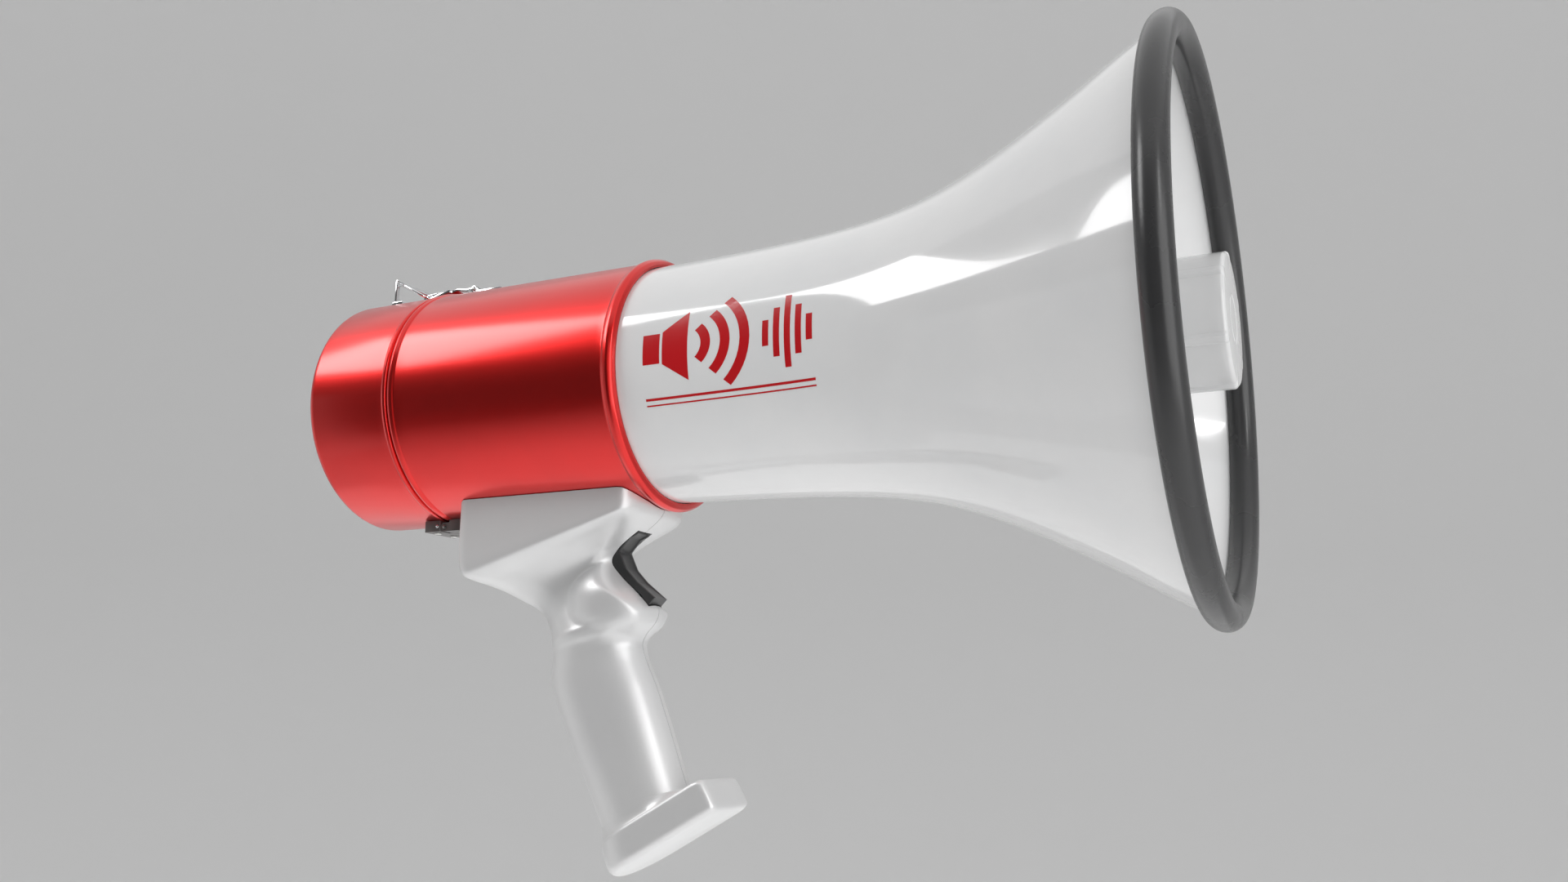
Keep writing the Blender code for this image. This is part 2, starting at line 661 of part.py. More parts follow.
def build_handle(seat):
    """The two half shells, cut from one skin along the middle plane."""
    skin = [section(*row) for row in HANDLE_SECTIONS] + [grip_end(FOOT_THICK + GAP, 0.0)]
    hollow = [section(*row, inset=HANDLE_WALL) for row in HANDLE_SECTIONS]
    hollow.append(grip_end(FOOT_THICK - 3, HANDLE_WALL))
    hollow_seat = turned("hollow_seat", None, disc(-200, -400, SEAT_RADIUS + HANDLE_WALL))
    for side, name in ((-1, "handle_left"), (1, "handle_right")):
        shell = loft(name, "white_plastic", skin)
        core = loft(name + "_core", None, hollow)
        cut(core, hollow_seat)
        for number, (x, z) in enumerate(POSTS):
            post = rod("%s_post_%d" % (name, number), None, 4.0, (x, -30, z), (x, 30, z), 12)
            cut(core, post)
        x, z = TRIGGER_AT
        start, end = (x, side * 6.2, z), (x, side * 30, z)
        cut(core, rod(name + "_pin_boss", None, 3.6, start, end, 12))
        low, high = (-60, SPLIT) if side > 0 else (-SPLIT, 60)
        other_half = block(name + "_cut", None, (-400, low, -260), (-150, high, 0))
        cut(shell, core, seat, other_half, trigger_slot(name))
        drill_shell(shell, name, side)


def trigger_slot(name):
    outline = [(-241.4, -59.4), (-241.7, -63.0), (-222.0, -68.0), (-222.0, -79.9), (-236.9, -95.0),
               (-238.5, -95.7), (-243.0, -96.5), (-250.0, -94.4), (-262.0, -88.0), (-264.0, -66.0),
               (-254.0, -57.0), (-245.5, -57.2)]
    half = TRIGGER_HALF + 0.5
    return plate(name + "_slot", None, outline, -half, half)


def drill_shell(shell, name, side):
    """Screw holes: through the right shell, blind in the left; and the trigger pin's seats."""
    reach = 40 if side > 0 else -11
    for number, (x, z) in enumerate(POSTS):
        start = (x, reach, z)
        hole = rod("%s_hole_%d" % (name, number), None, SHANK_HOLE, start, (x, 0, z), 12)
        cut(shell, hole)
        if side > 0:
            start = (x, 10.4, z)
            cut(shell, rod("%s_sink_%d" % (name, number), None, 3.4, start, (x, 40, z), 16))
    x, z = TRIGGER_AT
    cut(shell, rod(name + "_pin_seat", None, 1.75, (x, 0, z), (x, side * 9.5, z), 12))
    for number, (x, y) in enumerate(SADDLE_SCREWS):
        if y * side > 0:
            top = rod("%s_top_%d" % (name, number), None, SHANK_HOLE, (x, y, -40), (x, y, -58), 12)
            cut(shell, top)


def build_handle_screws(drum):
    for number, (x, z) in enumerate(POSTS):
        tip = (x, -10.2, z)
        screw = rod("handle_screw_%d" % (number + 1), "steel", SHANK_RADIUS, tip, (x, 11, z), 12)
        head = rod("handle_head_%d" % number, None, 3.0, (x, 10.8, z), (x, 13.0, z), 16)
        join(screw, head)
    for number, (x, y) in enumerate(SADDLE_SCREWS):
        floor = -math.sqrt(DRUM_BORE ** 2 - (abs(y) + 2.8) ** 2)
        top = floor + 0.9
        name = "saddle_screw_%d" % (number + 1)
        screw = rod(name, "steel", SHANK_RADIUS, (x, y, top + 0.8), (x, y, -57.4), 12)
        join(screw, rod("saddle_head_%d" % number, None, 2.6, (x, y, top + 1.6), (x, y, top), 16))
        hole = rod("saddle_hole_%d" % number, None, SHANK_HOLE, (x, y, -40), (x, y, -60), 12)
        cut(drum, hole)


def foot_point(along, up):
    """A point of the foot, from its rear sole corner along the sole and up from it."""
    x, z = SOLE_BACK
    cos, sin = math.cos(FOOT_TILT), math.sin(FOOT_TILT)
    return (x + along * cos - up * sin, z + along * sin + up * cos)


def build_foot():
    """The foot closes the grip's lower end and is a little wider than the grip."""
    rows = []
    for up, rear, front, grow in (
        (0.0, 2.0, FOOT_LENGTH - 2.5, -1.5), (1.5, 0.0, FOOT_LENGTH, 0.0),
        (9.5, -0.8, FOOT_LENGTH - 1.5, 0.0), (FOOT_THICK, 0.0, FOOT_LENGTH - 4.0, -1.0),
    ):
        rows.append(section(foot_point(rear, up), foot_point(front, up), FOOT_HALF + grow,
                            (19, 14), (2.6, 2.6)))
    foot = loft("handle_foot", "white_plastic", rows)
    plug_inset = HANDLE_WALL + 0.9
    rows = [grip_end(FOOT_THICK + up, plug_inset) for up in (-1.0, 6.0)]
    join(foot, loft("foot_plug", None, rows))


def build_trigger():
    """The trigger's finger face is a shallow V, and its body reaches back to its pin."""
    outline = [(-242.0, -60.2), (-242.6, -63.5), (-246.4, -65.2), (-251.0, -70.4), (-247.6, -77.8),
               (-242.8, -83.0), (-233.5, -90.6), (-237.3, -94.5), (-240.2, -89.0), (-246.0, -86.6),
               (-259.0, -80.0), (-259.4, -70.0), (-252.5, -60.5), (-249.5, -58.6), (-246.5, -58.6)]
    trigger = plate("trigger", "black_plastic", outline, -TRIGGER_HALF, TRIGGER_HALF)
    soften(trigger, 0.5, 1)
    x, z = TRIGGER_AT
    cut(trigger, rod("trigger_bore", None, 1.35, (x, -9, z), (x, 9, z), 16))
    rod("trigger_pin", "steel", 1.05, (x, -9.0, z), (x, 9.0, z), 12)
    build_trigger_spring()
    build_trigger_switch()


def build_trigger_spring():
    """A small compression coil between the trigger's back and the switch bracket."""
    start, end, radius, turns, steps = -260.0, -266.6, 2.2, 4, 8
    points = []
    for i in range(turns * steps + 1):
        angle = 2 * math.pi * i / steps
        x = start + (end - start) * i / (turns * steps)
        points.append((x, radius * math.cos(angle), -78.0 + radius * math.sin(angle)))
    wire("trigger_spring", "steel", points, 0.35, 0)


def build_trigger_switch():
    front = SWITCH_X + 6.0
    body = block("trigger_switch", "black_plastic", (SWITCH_X - 6, -9.5, -84), (front, 9.5, -67), 0.4)
    join(body, rod("switch_plunger", None, 1.3, (SWITCH_X, 0, -71.5), (front + 4.8, 0, -71.5), 12))


# ---------------------------------------------------------------- assembly


def build_seat():
    """The drum's outside grown by a gap, which is cut from whatever rests on it."""
    lip = LIP_RADIUS + GAP
    profile = [(-200, 0), (-200, lip), (LIP_X - 4.5, lip), (LIP_X - 6.5, SEAT_RADIUS),
               (-400, SEAT_RADIUS), (-400, 0)]
    return turned("drum_seat", None, profile)


def main():
    clear_scene()
    build_bell()
    build_reflex_path()
    build_driver()
    drum = build_drum()
    build_battery_pack()
    build_cover()
    build_cover_contents()
    build_controls()
    seat = build_seat()
    build_hinge(seat)
    build_latch(seat)
    build_handle(seat)
    build_handle_screws(drum)
    build_foot()
    build_trigger()


MEGAPHONE = collection("megaphone")
CUTTERS = collection("cutters")
main()
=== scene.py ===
"""Looks of a handheld megaphone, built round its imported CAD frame. Sizes are in millimetres
and become metres where a mesh is made."""

import math

import bmesh
import bpy
from mathutils import Matrix, Vector


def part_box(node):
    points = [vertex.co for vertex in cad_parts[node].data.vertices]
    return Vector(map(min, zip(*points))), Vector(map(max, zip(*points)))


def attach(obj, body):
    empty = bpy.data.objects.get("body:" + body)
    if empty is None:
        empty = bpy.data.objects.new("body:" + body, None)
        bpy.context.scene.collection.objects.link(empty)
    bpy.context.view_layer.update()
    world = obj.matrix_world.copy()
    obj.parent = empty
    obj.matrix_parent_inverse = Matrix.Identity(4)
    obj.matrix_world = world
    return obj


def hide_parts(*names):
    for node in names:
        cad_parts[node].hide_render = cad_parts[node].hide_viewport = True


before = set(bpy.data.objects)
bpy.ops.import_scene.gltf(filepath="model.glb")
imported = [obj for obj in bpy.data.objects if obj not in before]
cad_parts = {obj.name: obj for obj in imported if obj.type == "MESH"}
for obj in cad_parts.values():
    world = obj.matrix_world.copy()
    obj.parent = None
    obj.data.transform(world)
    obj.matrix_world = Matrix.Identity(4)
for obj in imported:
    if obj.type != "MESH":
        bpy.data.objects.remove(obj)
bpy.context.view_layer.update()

MM = 0.001
TAU = 2 * math.pi


def place_of(node):
    """The node's lowest and highest corner in millimetres."""
    low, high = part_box(node)
    return low / MM, high / MM


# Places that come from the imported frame.
DRUM_BOX = place_of("drum_body")
SEAM_X = DRUM_BOX[0].x
LIP_X = DRUM_BOX[1].x
TAIL_X = place_of("rear_cover")[0].x
COVER_X = place_of("rear_cover")[1].x
DRUM_RADIUS = place_of("rear_cover")[1].y
BELL_BACK = place_of("horn_bell")[0].x
BELL_FRONT = place_of("horn_bell")[1].x
RIM_BOX = place_of("rim_ring")
MOUTH_X = (RIM_BOX[0].x + RIM_BOX[1].x) / 2
RIM_TUBE = 5.8
RIM_RADIUS = 105.0
BELL_WALL = 2.0
DRUM_BORE = DRUM_RADIUS - 2.2
GRILLE_BOX = place_of("mic_grille")
MIC_AT = (0.0, (GRILLE_BOX[0].z + GRILLE_BOX[1].z) / 2)
KNOB_AT = (21.0, -20.0)
SWITCH_AT = (-20.0, -20.0)
BUTTON_AT = (0.0, -27.0)
HINGE_AT = (-339.9, -55.3)
LEVER_AT = (-331.3, 55.1)
BAIL_AT = (-359.5, 55.3)
KEEPER_X = -374.6
TRIGGER_AT = (-248.0, -60.6)
SPLIT = 0.15
SEAT_RADIUS = DRUM_RADIUS + 0.3
POSTS = ((-306.0, -74.0), (-267.0, -118.0), (-250.0, -164.0))
FOOT_TILT = math.radians(29.0)
SOLE_BACK = (-250.9, -202.9)
FOOT_THICK = 14.0
GRIP_ENDS = (3.6, 44.5)
GRIP_HALF = 14.0
TRIGGER_HALF = 5.4
SLOT_HALF = 5.7
ON_AXIS = 0.001
BULGE_AT = (-253.0, -91.5)
BULGE_SIZE = (22.5, 18.6, 19.0)


# ---------------------------------------------------------------- materials


def add(tree, kind, **values):
    node = tree.nodes.new(kind)
    for name, value in values.items():
        if name in node.inputs:
            node.inputs[name].default_value = value
        else:
            setattr(node, name, value)
    return node


def new_paint(name):
    material = bpy.data.materials.new(name)
    material.use_nodes = True
    return material, material.node_tree, material.node_tree.nodes["Principled BSDF"]


LOOKS = {}


def grey(level):
    return (level, level, level)


def look(name, base, other, rough, *, spread=0.04, metal=0.0, stretch=(1, 1, 1),
         patch=30.0, grain=900.0, grain_depth=0.00002, wave=40.0, wave_depth=0.0, coat=0.0,
         coat_rough=0.05, coat_ior=1.5, streaks=0.0, speck=0.0):
    """A finish whose colour, roughness and relief vary over the surface.

    Patches mix base with other, grain and wave are reliefs, streaks vary the roughness
    along a stretched noise, and speck adds fine dots of the other colour.
    """
    material, tree, shader = new_paint(name)
    link = tree.links.new
    shader.inputs["Metallic"].default_value = metal
    shader.inputs["Coat Weight"].default_value = coat
    shader.inputs["Coat Roughness"].default_value = coat_rough
    shader.inputs["Coat IOR"].default_value = coat_ior
    where = add(tree, "ShaderNodeTexCoord")
    turned = add(tree, "ShaderNodeMapping", Scale=stretch)
    link(where.outputs["Object"], turned.inputs["Vector"])

    def noise_at(scale, detail=3.0, stretched=True):
        made = add(tree, "ShaderNodeTexNoise", Scale=scale, Detail=detail, Roughness=0.55)
        source = turned.outputs["Vector"] if stretched else where.outputs["Object"]
        link(source, made.inputs["Vector"])
        return made.outputs["Fac"]

    tint = add(tree, "ShaderNodeMix", data_type="RGBA")
    tint.inputs[6].default_value = (*base, 1)
    tint.inputs[7].default_value = (*other, 1)
    share = add(tree, "ShaderNodeMapRange", **{"From Min": 0.35, "From Max": 0.75})
    link(noise_at(patch, 4.0, False), share.inputs["Value"])
    link(share.outputs["Result"], tint.inputs[0])
    colour = tint.outputs[2]
    if speck:
        dots = add(tree, "ShaderNodeMapRange",
                   **{"From Min": 0.62, "From Max": 0.7, "To Max": speck})
        link(noise_at(grain * 0.6, 2.0, False), dots.inputs["Value"])
        flecked = add(tree, "ShaderNodeMix", data_type="RGBA")
        flecked.inputs[7].default_value = (*other, 1)
        link(dots.outputs["Result"], flecked.inputs[0])
        link(colour, flecked.inputs[6])
        colour = flecked.outputs[2]
    link(colour, shader.inputs["Base Color"])

    roughness = add(tree, "ShaderNodeMapRange", **{"From Min": 0.3, "From Max": 0.7,
                                                   "To Min": max(0.02, rough - spread),
                                                   "To Max": rough + spread})
    link(noise_at(streaks or patch * 2.0, 5.0, bool(streaks)), roughness.inputs["Value"])
    link(roughness.outputs["Result"], shader.inputs["Roughness"])

    relief = add(tree, "ShaderNodeBump", Distance=grain_depth, Strength=1.0)
    link(noise_at(grain, 3.0), relief.inputs["Height"])
    normal = relief.outputs["Normal"]
    if wave_depth:
        ripple = add(tree, "ShaderNodeBump", Distance=wave_depth, Strength=1.0)
        link(noise_at(wave, 1.0, False), ripple.inputs["Height"])
        link(normal, ripple.inputs["Normal"])
        normal = ripple.outputs["Normal"]
    link(normal, shader.inputs["Normal"])
    LOOKS[name] = material


look("bell_white", grey(0.82), (0.78, 0.785, 0.79), 0.10, spread=0.03,
     coat=0.6, coat_rough=0.03, grain_depth=0.000002, wave=18.0, wave_depth=0.00012)
look("handle_white", grey(0.78), (0.74, 0.74, 0.745), 0.37, spread=0.03,
     metal=0.38, grain=1400.0, grain_depth=0.000012, patch=22.0)
look("boss_white", grey(0.79), (0.74, 0.745, 0.75), 0.16, spread=0.03,
     coat=0.4, grain_depth=0.000003, wave=60.0, wave_depth=0.00003)
look("red_metal", (0.78, 0.006, 0.004), (0.72, 0.005, 0.003), 0.31, spread=0.012,
     metal=0.97, stretch=(0.02, 1, 1), streaks=420.0, grain=500.0, grain_depth=0.0000002,
     coat=0.52, coat_rough=0.18, coat_ior=1.8)
look("rim_rubber", (0.034, 0.034, 0.035), (0.050, 0.050, 0.051), 0.27, spread=0.05,
     grain=1100.0, grain_depth=0.00003, patch=14.0)
look("gasket_rubber", grey(0.02), grey(0.035), 0.6, grain=1300.0, grain_depth=0.00004)
look("trigger_black", (0.034, 0.034, 0.035), (0.050, 0.050, 0.051), 0.32,
     spread=0.05, grain=1500.0)
look("moulded_black", (0.022, 0.022, 0.023), (0.036, 0.036, 0.037), 0.42,
     spread=0.06, grain=1800.0, grain_depth=0.00004)
look("chrome", (0.83, 0.83, 0.84), (0.74, 0.75, 0.76), 0.12, metal=1.0,
     grain=500.0, grain_depth=0.000004)
look("bright_steel", (0.62, 0.62, 0.60), (0.5, 0.5, 0.48), 0.3, metal=1.0,
     spread=0.08, grain_depth=0.00001, streaks=500.0, stretch=(0.1, 1, 1))
look("hinge_steel", (0.20, 0.19, 0.185), (0.15, 0.145, 0.14), 0.36, metal=0.55,
     spread=0.07, grain=1200.0)
look("ferrite", (0.05, 0.05, 0.055), (0.03, 0.03, 0.033), 0.7, speck=0.4,
     grain=1500.0, grain_depth=0.00005)
look("copper", (0.72, 0.29, 0.13), (0.6, 0.2, 0.08), 0.3, metal=1.0,
     stretch=(8, 1, 1), grain=300.0, grain_depth=0.00005)
look("solder_mask", (0.012, 0.16, 0.055), (0.02, 0.25, 0.09), 0.32,
     patch=160.0, grain=700.0, grain_depth=0.00004, coat=0.3)
look("cell_foil", (0.05, 0.07, 0.13), (0.08, 0.1, 0.17), 0.26, metal=0.3,
     spread=0.06, coat=0.5, grain=600.0, grain_depth=0.000008)
look("red_gloss", (0.60, 0.012, 0.012), (0.5, 0.01, 0.01), 0.22, coat=0.3,
     grain=1200.0, grain_depth=0.000008)
look("red_print", (0.56, 0.008, 0.012), (0.50, 0.006, 0.01), 0.22,
     grain=1600.0, grain_depth=0.00001, coat=0.4)
look("white_print", grey(0.82), grey(0.7), 0.5, grain=2000.0)
look("brass", (0.75, 0.55, 0.22), (0.62, 0.43, 0.16), 0.28, metal=1.0)
look("diaphragm", (0.03, 0.028, 0.026), (0.05, 0.045, 0.04), 0.5,
     grain=500.0, grain_depth=0.0001)


# ---------------------------------------------------------------- mesh helpers


def mm(x, y, z):
    return Vector((x * MM, y * MM, z * MM))


def rounded(points, steps=4, closed=True):
    """Turns each (a, b, radius) into an arc; a plain (a, b) stays a sharp corner."""
    out = []
    count = len(points)
    for i, point in enumerate(points):
        if len(point) == 2 or (not closed and i in (0, count - 1)):
            out.append((point[0], point[1]))
            continue
        before = Vector(points[i - 1][:2])
        corner = Vector(point[:2])
        after = Vector(points[(i + 1) % count][:2])
        to_before, to_after = before - corner, after - corner
        room = 0.48 * min(to_before.length, to_after.length)
        to_before.normalize()
        to_after.normalize()
        half = to_before.angle(to_after) / 2
        reach = min(point[2] / math.tan(half), room)
        radius = reach * math.tan(half)
        centre = corner + (to_before + to_after).normalized() * (radius / math.sin(half))
        start = corner + to_before * reach - centre
        end = corner + to_after * reach - centre
        turn = math.atan2(start.x * end.y - start.y * end.x, start.dot(end))
        for step in range(steps + 1):
            angle = turn * step / steps
            cos, sin = math.cos(angle), math.sin(angle)
            out.append((centre.x + start.x * cos - start.y * sin,
                        centre.y + start.x * sin + start.y * cos))
    return out


def bridge(shape, one, two):
    """Faces between two rings, either of which may be a single point."""
    count = max(len(one), len(two))
    if count == 1:
        return
    for i in range(count):
        j = (i + 1) % count
        if len(one) == 1:
            shape.faces.new((one[0], two[j], two[i]))
        elif len(two) == 1:
            shape.faces.new((one[i], one[j], two[0]))
        else:
            shape.faces.new((one[i], one[j], two[j], two[i]))


def skin(shape, rings, capped=False):
    """Joins rings one to the next, and may close both ends with a flat face."""
    for one, two in zip(rings, rings[1:]):
        bridge(shape, one, two)
    if capped:
        shape.faces.new(rings[0])
        shape.faces.new(list(reversed(rings[-1])))


def circle(shape, centre, side, other, radius, segments):
    """A ring of points round a centre, or one point where there is no radius."""
    if radius < ON_AXIS:
        return [shape.verts.new(centre * MM)]
    turns = [TAU * i / segments for i in range(segments)]
    return [shape.verts.new((centre + (side * math.cos(turn) + other * math.sin(turn)) * radius)
                            * MM) for turn in turns]


def lathe(profile, segments=128, at=(0.0, 0.0), radius_at=None):
    """Spins (x, radius) points about the horn axis, or one beside it. An open profile closes
    on the axis, and radius_at(x, radius, angle) may shape each point."""
    shape = bmesh.new()
    rings = []
    for x, radius in profile:
        if radius < ON_AXIS:
            rings.append([shape.verts.new(mm(x, *at))])
            continue
        row = []
        for i in range(segments):
            angle = TAU * i / segments
            reach = radius_at(x, radius, angle) if radius_at else radius
            row.append(shape.verts.new(mm(x, at[0] + reach * math.cos(angle),
                                          at[1] + reach * math.sin(angle))))
        rings.append(row)
    skin(shape, rings)
    if len(rings[0]) > 1 or len(rings[-1]) > 1:
        bridge(shape, rings[-1], rings[0])
    return shape


def prism(outline, low, high):
    """A plate across Y whose outline is (x, z) points."""
    shape = bmesh.new()
    rings = [[shape.verts.new(mm(x, y, z)) for x, z in outline] for y in (low, high)]
    skin(shape, rings, capped=True)
    return shape


def slab(low, high, corner=0.0, axis="X"):
    """A block between two corners, with rounded edges along one axis."""
    a, b, along = {"X": (1, 2, 0), "Y": (0, 2, 1), "Z": (0, 1, 2)}[axis]
    radius = (corner,) if corner else ()
    loop = rounded([(low[a], low[b], *radius), (high[a], low[b], *radius),
                    (high[a], high[b], *radius), (low[a], high[b], *radius)], 3)
    shape = bmesh.new()
    rings = []
    for value in (low[along], high[along]):
        row = []
        for p, q in loop:
            point = [0.0, 0.0, 0.0]
            point[a], point[b], point[along] = p, q, value
            row.append(shape.verts.new(mm(*point)))
        rings.append(row)
    skin(shape, rings, capped=True)
    return shape


def bar(start, end, radius, segments=24, edge=0.0):
    """A round bar between two points, with softened ends."""
    start, end = Vector(start), Vector(end)
    length = (end - start).length
    along = (end - start).normalized()
    side = along.orthogonal().normalized()
    other = along.cross(side)
    rise = [(0.0, 0.0), (0.0, radius)]
    if edge:
        rise = [(0.0, 0.0), (0.0, radius - edge), (edge * 0.3, radius - edge * 0.3),
                (edge, radius)]
    stops = rise + [(length - distance, reach) for distance, reach in reversed(rise)]
    shape = bmesh.new()
    skin(shape, [circle(shape, start + along * distance, side, other, reach, segments)
                 for distance, reach in stops])
    return shape


def smooth_path(points, per_span=6, closed=False):
    """Catmull-Rom points through the given ones."""
    vectors = [Vector(p) for p in points]
    count = len(vectors)
    spans = count if closed else count - 1
    out = []
    for i in range(spans):
        if closed:
            a, b, c, d = (vectors[(i + k) % count] for k in (-1, 0, 1, 2))
        else:
            a, b = vectors[max(i - 1, 0)], vectors[i]
            c, d = vectors[i + 1], vectors[min(i + 2, count - 1)]
        for step in range(per_span):
            t = step / per_span
            out.append(0.5 * (2 * b + (c - a) * t + (2 * a - 5 * b + 4 * c - d) * t * t
                              + (3 * b - a - 3 * c + d) * t * t * t))
    if not closed:
        out.append(vectors[-1])
    return out


def tube(path, radius, segments=12, closed=False):
    """A round wire along a path, with its frame carried from point to point."""
    path = [Vector(p) for p in path]
    count = len(path)
    shape = bmesh.new()
    side = None
    rings = []
    for i, point in enumerate(path):
        after = path[(i + 1) % count] if closed or i < count - 1 else point
        before = path[i - 1] if closed or i > 0 else point
        along = (after - before).normalized()
        carried = along.orthogonal() if side is None else side - along * side.dot(along)
        side = carried.normalized()
        rings.append(circle(shape, point, side, along.cross(side), radius, segments))
    skin(shape, rings)
    if closed:
        first, last = rings[0], rings[-1]
        shift = min(range(segments), key=lambda s: (last[0].co - first[s].co).length)
        bridge(shape, last, first[shift:] + first[:shift])
    else:
        shape.faces.new(list(reversed(rings[0])))
        shape.faces.new(rings[-1])
    return shape


def merged(*shapes):
    """One mesh from several closed ones."""
    whole = bmesh.new()
    for shape in shapes:
        mesh = bpy.data.meshes.new("part")
        bmesh.ops.recalc_face_normals(shape, faces=shape.faces)
        shape.to_mesh(mesh)
        shape.free()
        whole.from_mesh(mesh)
        bpy.data.meshes.remove(mesh)
    return whole


def object_of(name, shape):
    mesh = bpy.data.meshes.new(name)
    bmesh.ops.recalc_face_normals(shape, faces=shape.faces)
    shape.to_mesh(mesh)
    shape.free()
    obj = bpy.data.objects.new(name, mesh)
    bpy.context.scene.collection.objects.link(obj)
    return obj


def bake(obj):
    """Replaces the mesh by what its modifiers make."""
    graph = bpy.context.evaluated_depsgraph_get()
    made = bpy.data.meshes.new_from_object(obj.evaluated_get(graph))
    old = obj.data
    obj.modifiers.clear()
    obj.data = made
    bpy.data.meshes.remove(old)


def carve(obj, cutters, operation="DIFFERENCE"):
    """Applies one exact Boolean for each cutter and removes the cutters."""
    for number, shape in enumerate(cutters):
        cutter = object_of("cutter_%d" % number, shape)
        step = obj.modifiers.new("carve", "BOOLEAN")
        step.object = cutter
        step.operation = operation
        step.solver = "EXACT"
        bake(obj)
        bpy.data.objects.remove(cutter, do_unlink=True)


def paint(obj, finish, sharp):
    """Gives an object its finish, smooth but for edges sharper than an angle in degrees."""
    obj.data.materials.clear()
    obj.data.materials.append(LOOKS[finish])
    obj.data.shade_smooth()
    obj.data.set_sharp_from_angle(angle=math.radians(sharp))


def piece(name, shape, finish, body="horn", nodes=(), sharp=32, edge=0.0, cutters=()):
    """A finished piece of the megaphone: edge rounds its corners, and cutters are taken out."""
    obj = shape if isinstance(shape, bpy.types.Object) else object_of(name, shape)
    obj.name = name
    if cutters:
        carve(obj, cutters)
    if edge:
        bevel = obj.modifiers.new("edges", "BEVEL")
        bevel.width = edge * MM
        bevel.segments = 2
        bevel.limit_method = "ANGLE"
        bevel.angle_limit = math.radians(30)
        bake(obj)
    paint(obj, finish, sharp)
    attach(obj, body)
    if nodes:
        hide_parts(*nodes)
    return obj


def spots(count, radius, start=0.0):
    """Evenly spaced (y, z) points round the axis, from an angle in degrees."""
    turns = [math.radians(start + 360 * number / count) for number in range(count)]
    return [(radius * math.cos(turn), radius * math.sin(turn)) for turn in turns]


def screw(name, at, axis, radius, body, finish="bright_steel"):
    """A domed screw head with a cross recess, whose underside is at a point."""
    height = radius * 0.55
    steps = 6
    profile = [(0.0, 0.0), (0.0, radius * 0.96), (height * 0.25, radius)]
    for step in range(1, steps + 1):
        angle = math.pi / 2 * step / steps
        profile.append((height * (0.25 + 0.75 * math.sin(angle)), radius * math.cos(angle)))
    arm, half = radius * 0.6, radius * 0.13
    bottom = height * 0.45
    cross = [slab((bottom, -arm, -half), (height * 2, arm, half)),
             slab((bottom, -half, -arm), (height * 2, half, arm))]
    head = object_of(name, lathe(profile, 32))
    carve(head, cross)
    turn = Vector((1, 0, 0)).rotation_difference(Vector(axis)).to_matrix().to_4x4()
    head.data.transform(Matrix.Translation(mm(*at)) @ turn)
    return piece(name, head, finish, body, sharp=28)


# ---------------------------------------------------------------- horn


def bell_radius(x):
    """The bell's outer radius: a neck, a soft elbow and a flare that eases off at the rim."""
    neck, elbow_x, elbow_bend, slope = 48.4, -106.0, 41.3, 0.593
    swell, swell_x, swell_width = 0.19, -29.0, 11.0
    reach = x - elbow_x
    flare = slope / 2 * (reach + math.hypot(reach, elbow_bend))
    return neck + flare + swell * math.exp(-((x - swell_x) / swell_width) ** 2)


def build_bell():
    steps = 72
    front = BELL_FRONT - 0.1
    xs = [front + (BELL_BACK - front) * i / steps for i in range(steps + 1)]
    outer = [(x, bell_radius(x)) for x in xs]
    inner = [(x, bell_radius(x) - BELL_WALL) for x in reversed(xs)]
    piece("bell_shell", lathe(outer + inner, 176), "bell_white", nodes=["horn_bell"], sharp=50)


def build_rim():
    """A round rubber edge with a parting line on its crown and lips against the bell."""
    turns = 40
    profile = []
    for i in range(turns):
        angle = TAU * i / turns
        reach = RIM_TUBE - 0.02
        if i == 0:
            reach -= 0.18
        profile.append((MOUTH_X + reach * math.cos(angle), RIM_RADIUS + reach * math.sin(angle)))
    gap = 0.12
    xs = [BELL_FRONT + 0.3, -18.0, -24.5]
    outer = [(x, bell_radius(x) + gap) for x in xs]
    inner = [(x, bell_radius(x) - BELL_WALL - gap) for x in reversed(xs)]
    piece("rim_trim", lathe(profile, 200), "rim_rubber", nodes=["rim_ring"],
          cutters=[lathe(outer + inner, 200)], sharp=40)


def build_sound_path():
    dish = rounded([(-214.0, 0.0), (-215.4, 5.0, 5), (-222.5, 13.0, 8), (-227.0, 24.0, 10),
                    (-227.0, 34.0, 8), (-223.0, 43.0, 8), (-217.2, 46.9, 0.6), (-217.2, 47.6),
                    (-231.4, 47.6), (-231.4, 0.0)], 5, closed=False)
    piece("reflector_dish", lathe(dish, 128), "boss_white", nodes=["reflector_cup"])
    outer = [(-70.3, 10.6), (-90, 13.2), (-110, 16.0), (-130, 18.9), (-150, 21.9), (-168, 22.0),
             (-200, 22.0), (-203, 22.8), (-205, 24.2), (-205.8, 25.8)]
    inner = [(-206.0, 24.9), (-205, 23.0), (-203, 21.2), (-200, 20.2), (-150, 20.1), (-130, 17.1),
             (-110, 14.2), (-90, 11.4), (-70.3, 8.8)]
    piece("throat_tube", lathe(outer + inner, 96), "boss_white", nodes=["tone_tube"], sharp=40)
    ring = [(-178.0, 24.0, 0.5), (-192.0, 24.0, 0.5), (-192.0, 22.35), (-178.0, 22.35)]
    parts = [lathe(rounded(ring), 96)]
    for number in range(3):
        vane = slab((-191.0, -1.0, 23.6), (-179.0, 1.0, 48.1), 0.7, "Z")
        bmesh.ops.transform(vane, matrix=Matrix.Rotation(TAU / 3 * number, 4, "X"),
                            verts=vane.verts)
        parts.append(vane)
    piece("spider_vanes", merged(*parts), "boss_white", nodes=["tube_spider"])


RIBS = 6
RIB_PHASE = math.radians(-30.0)


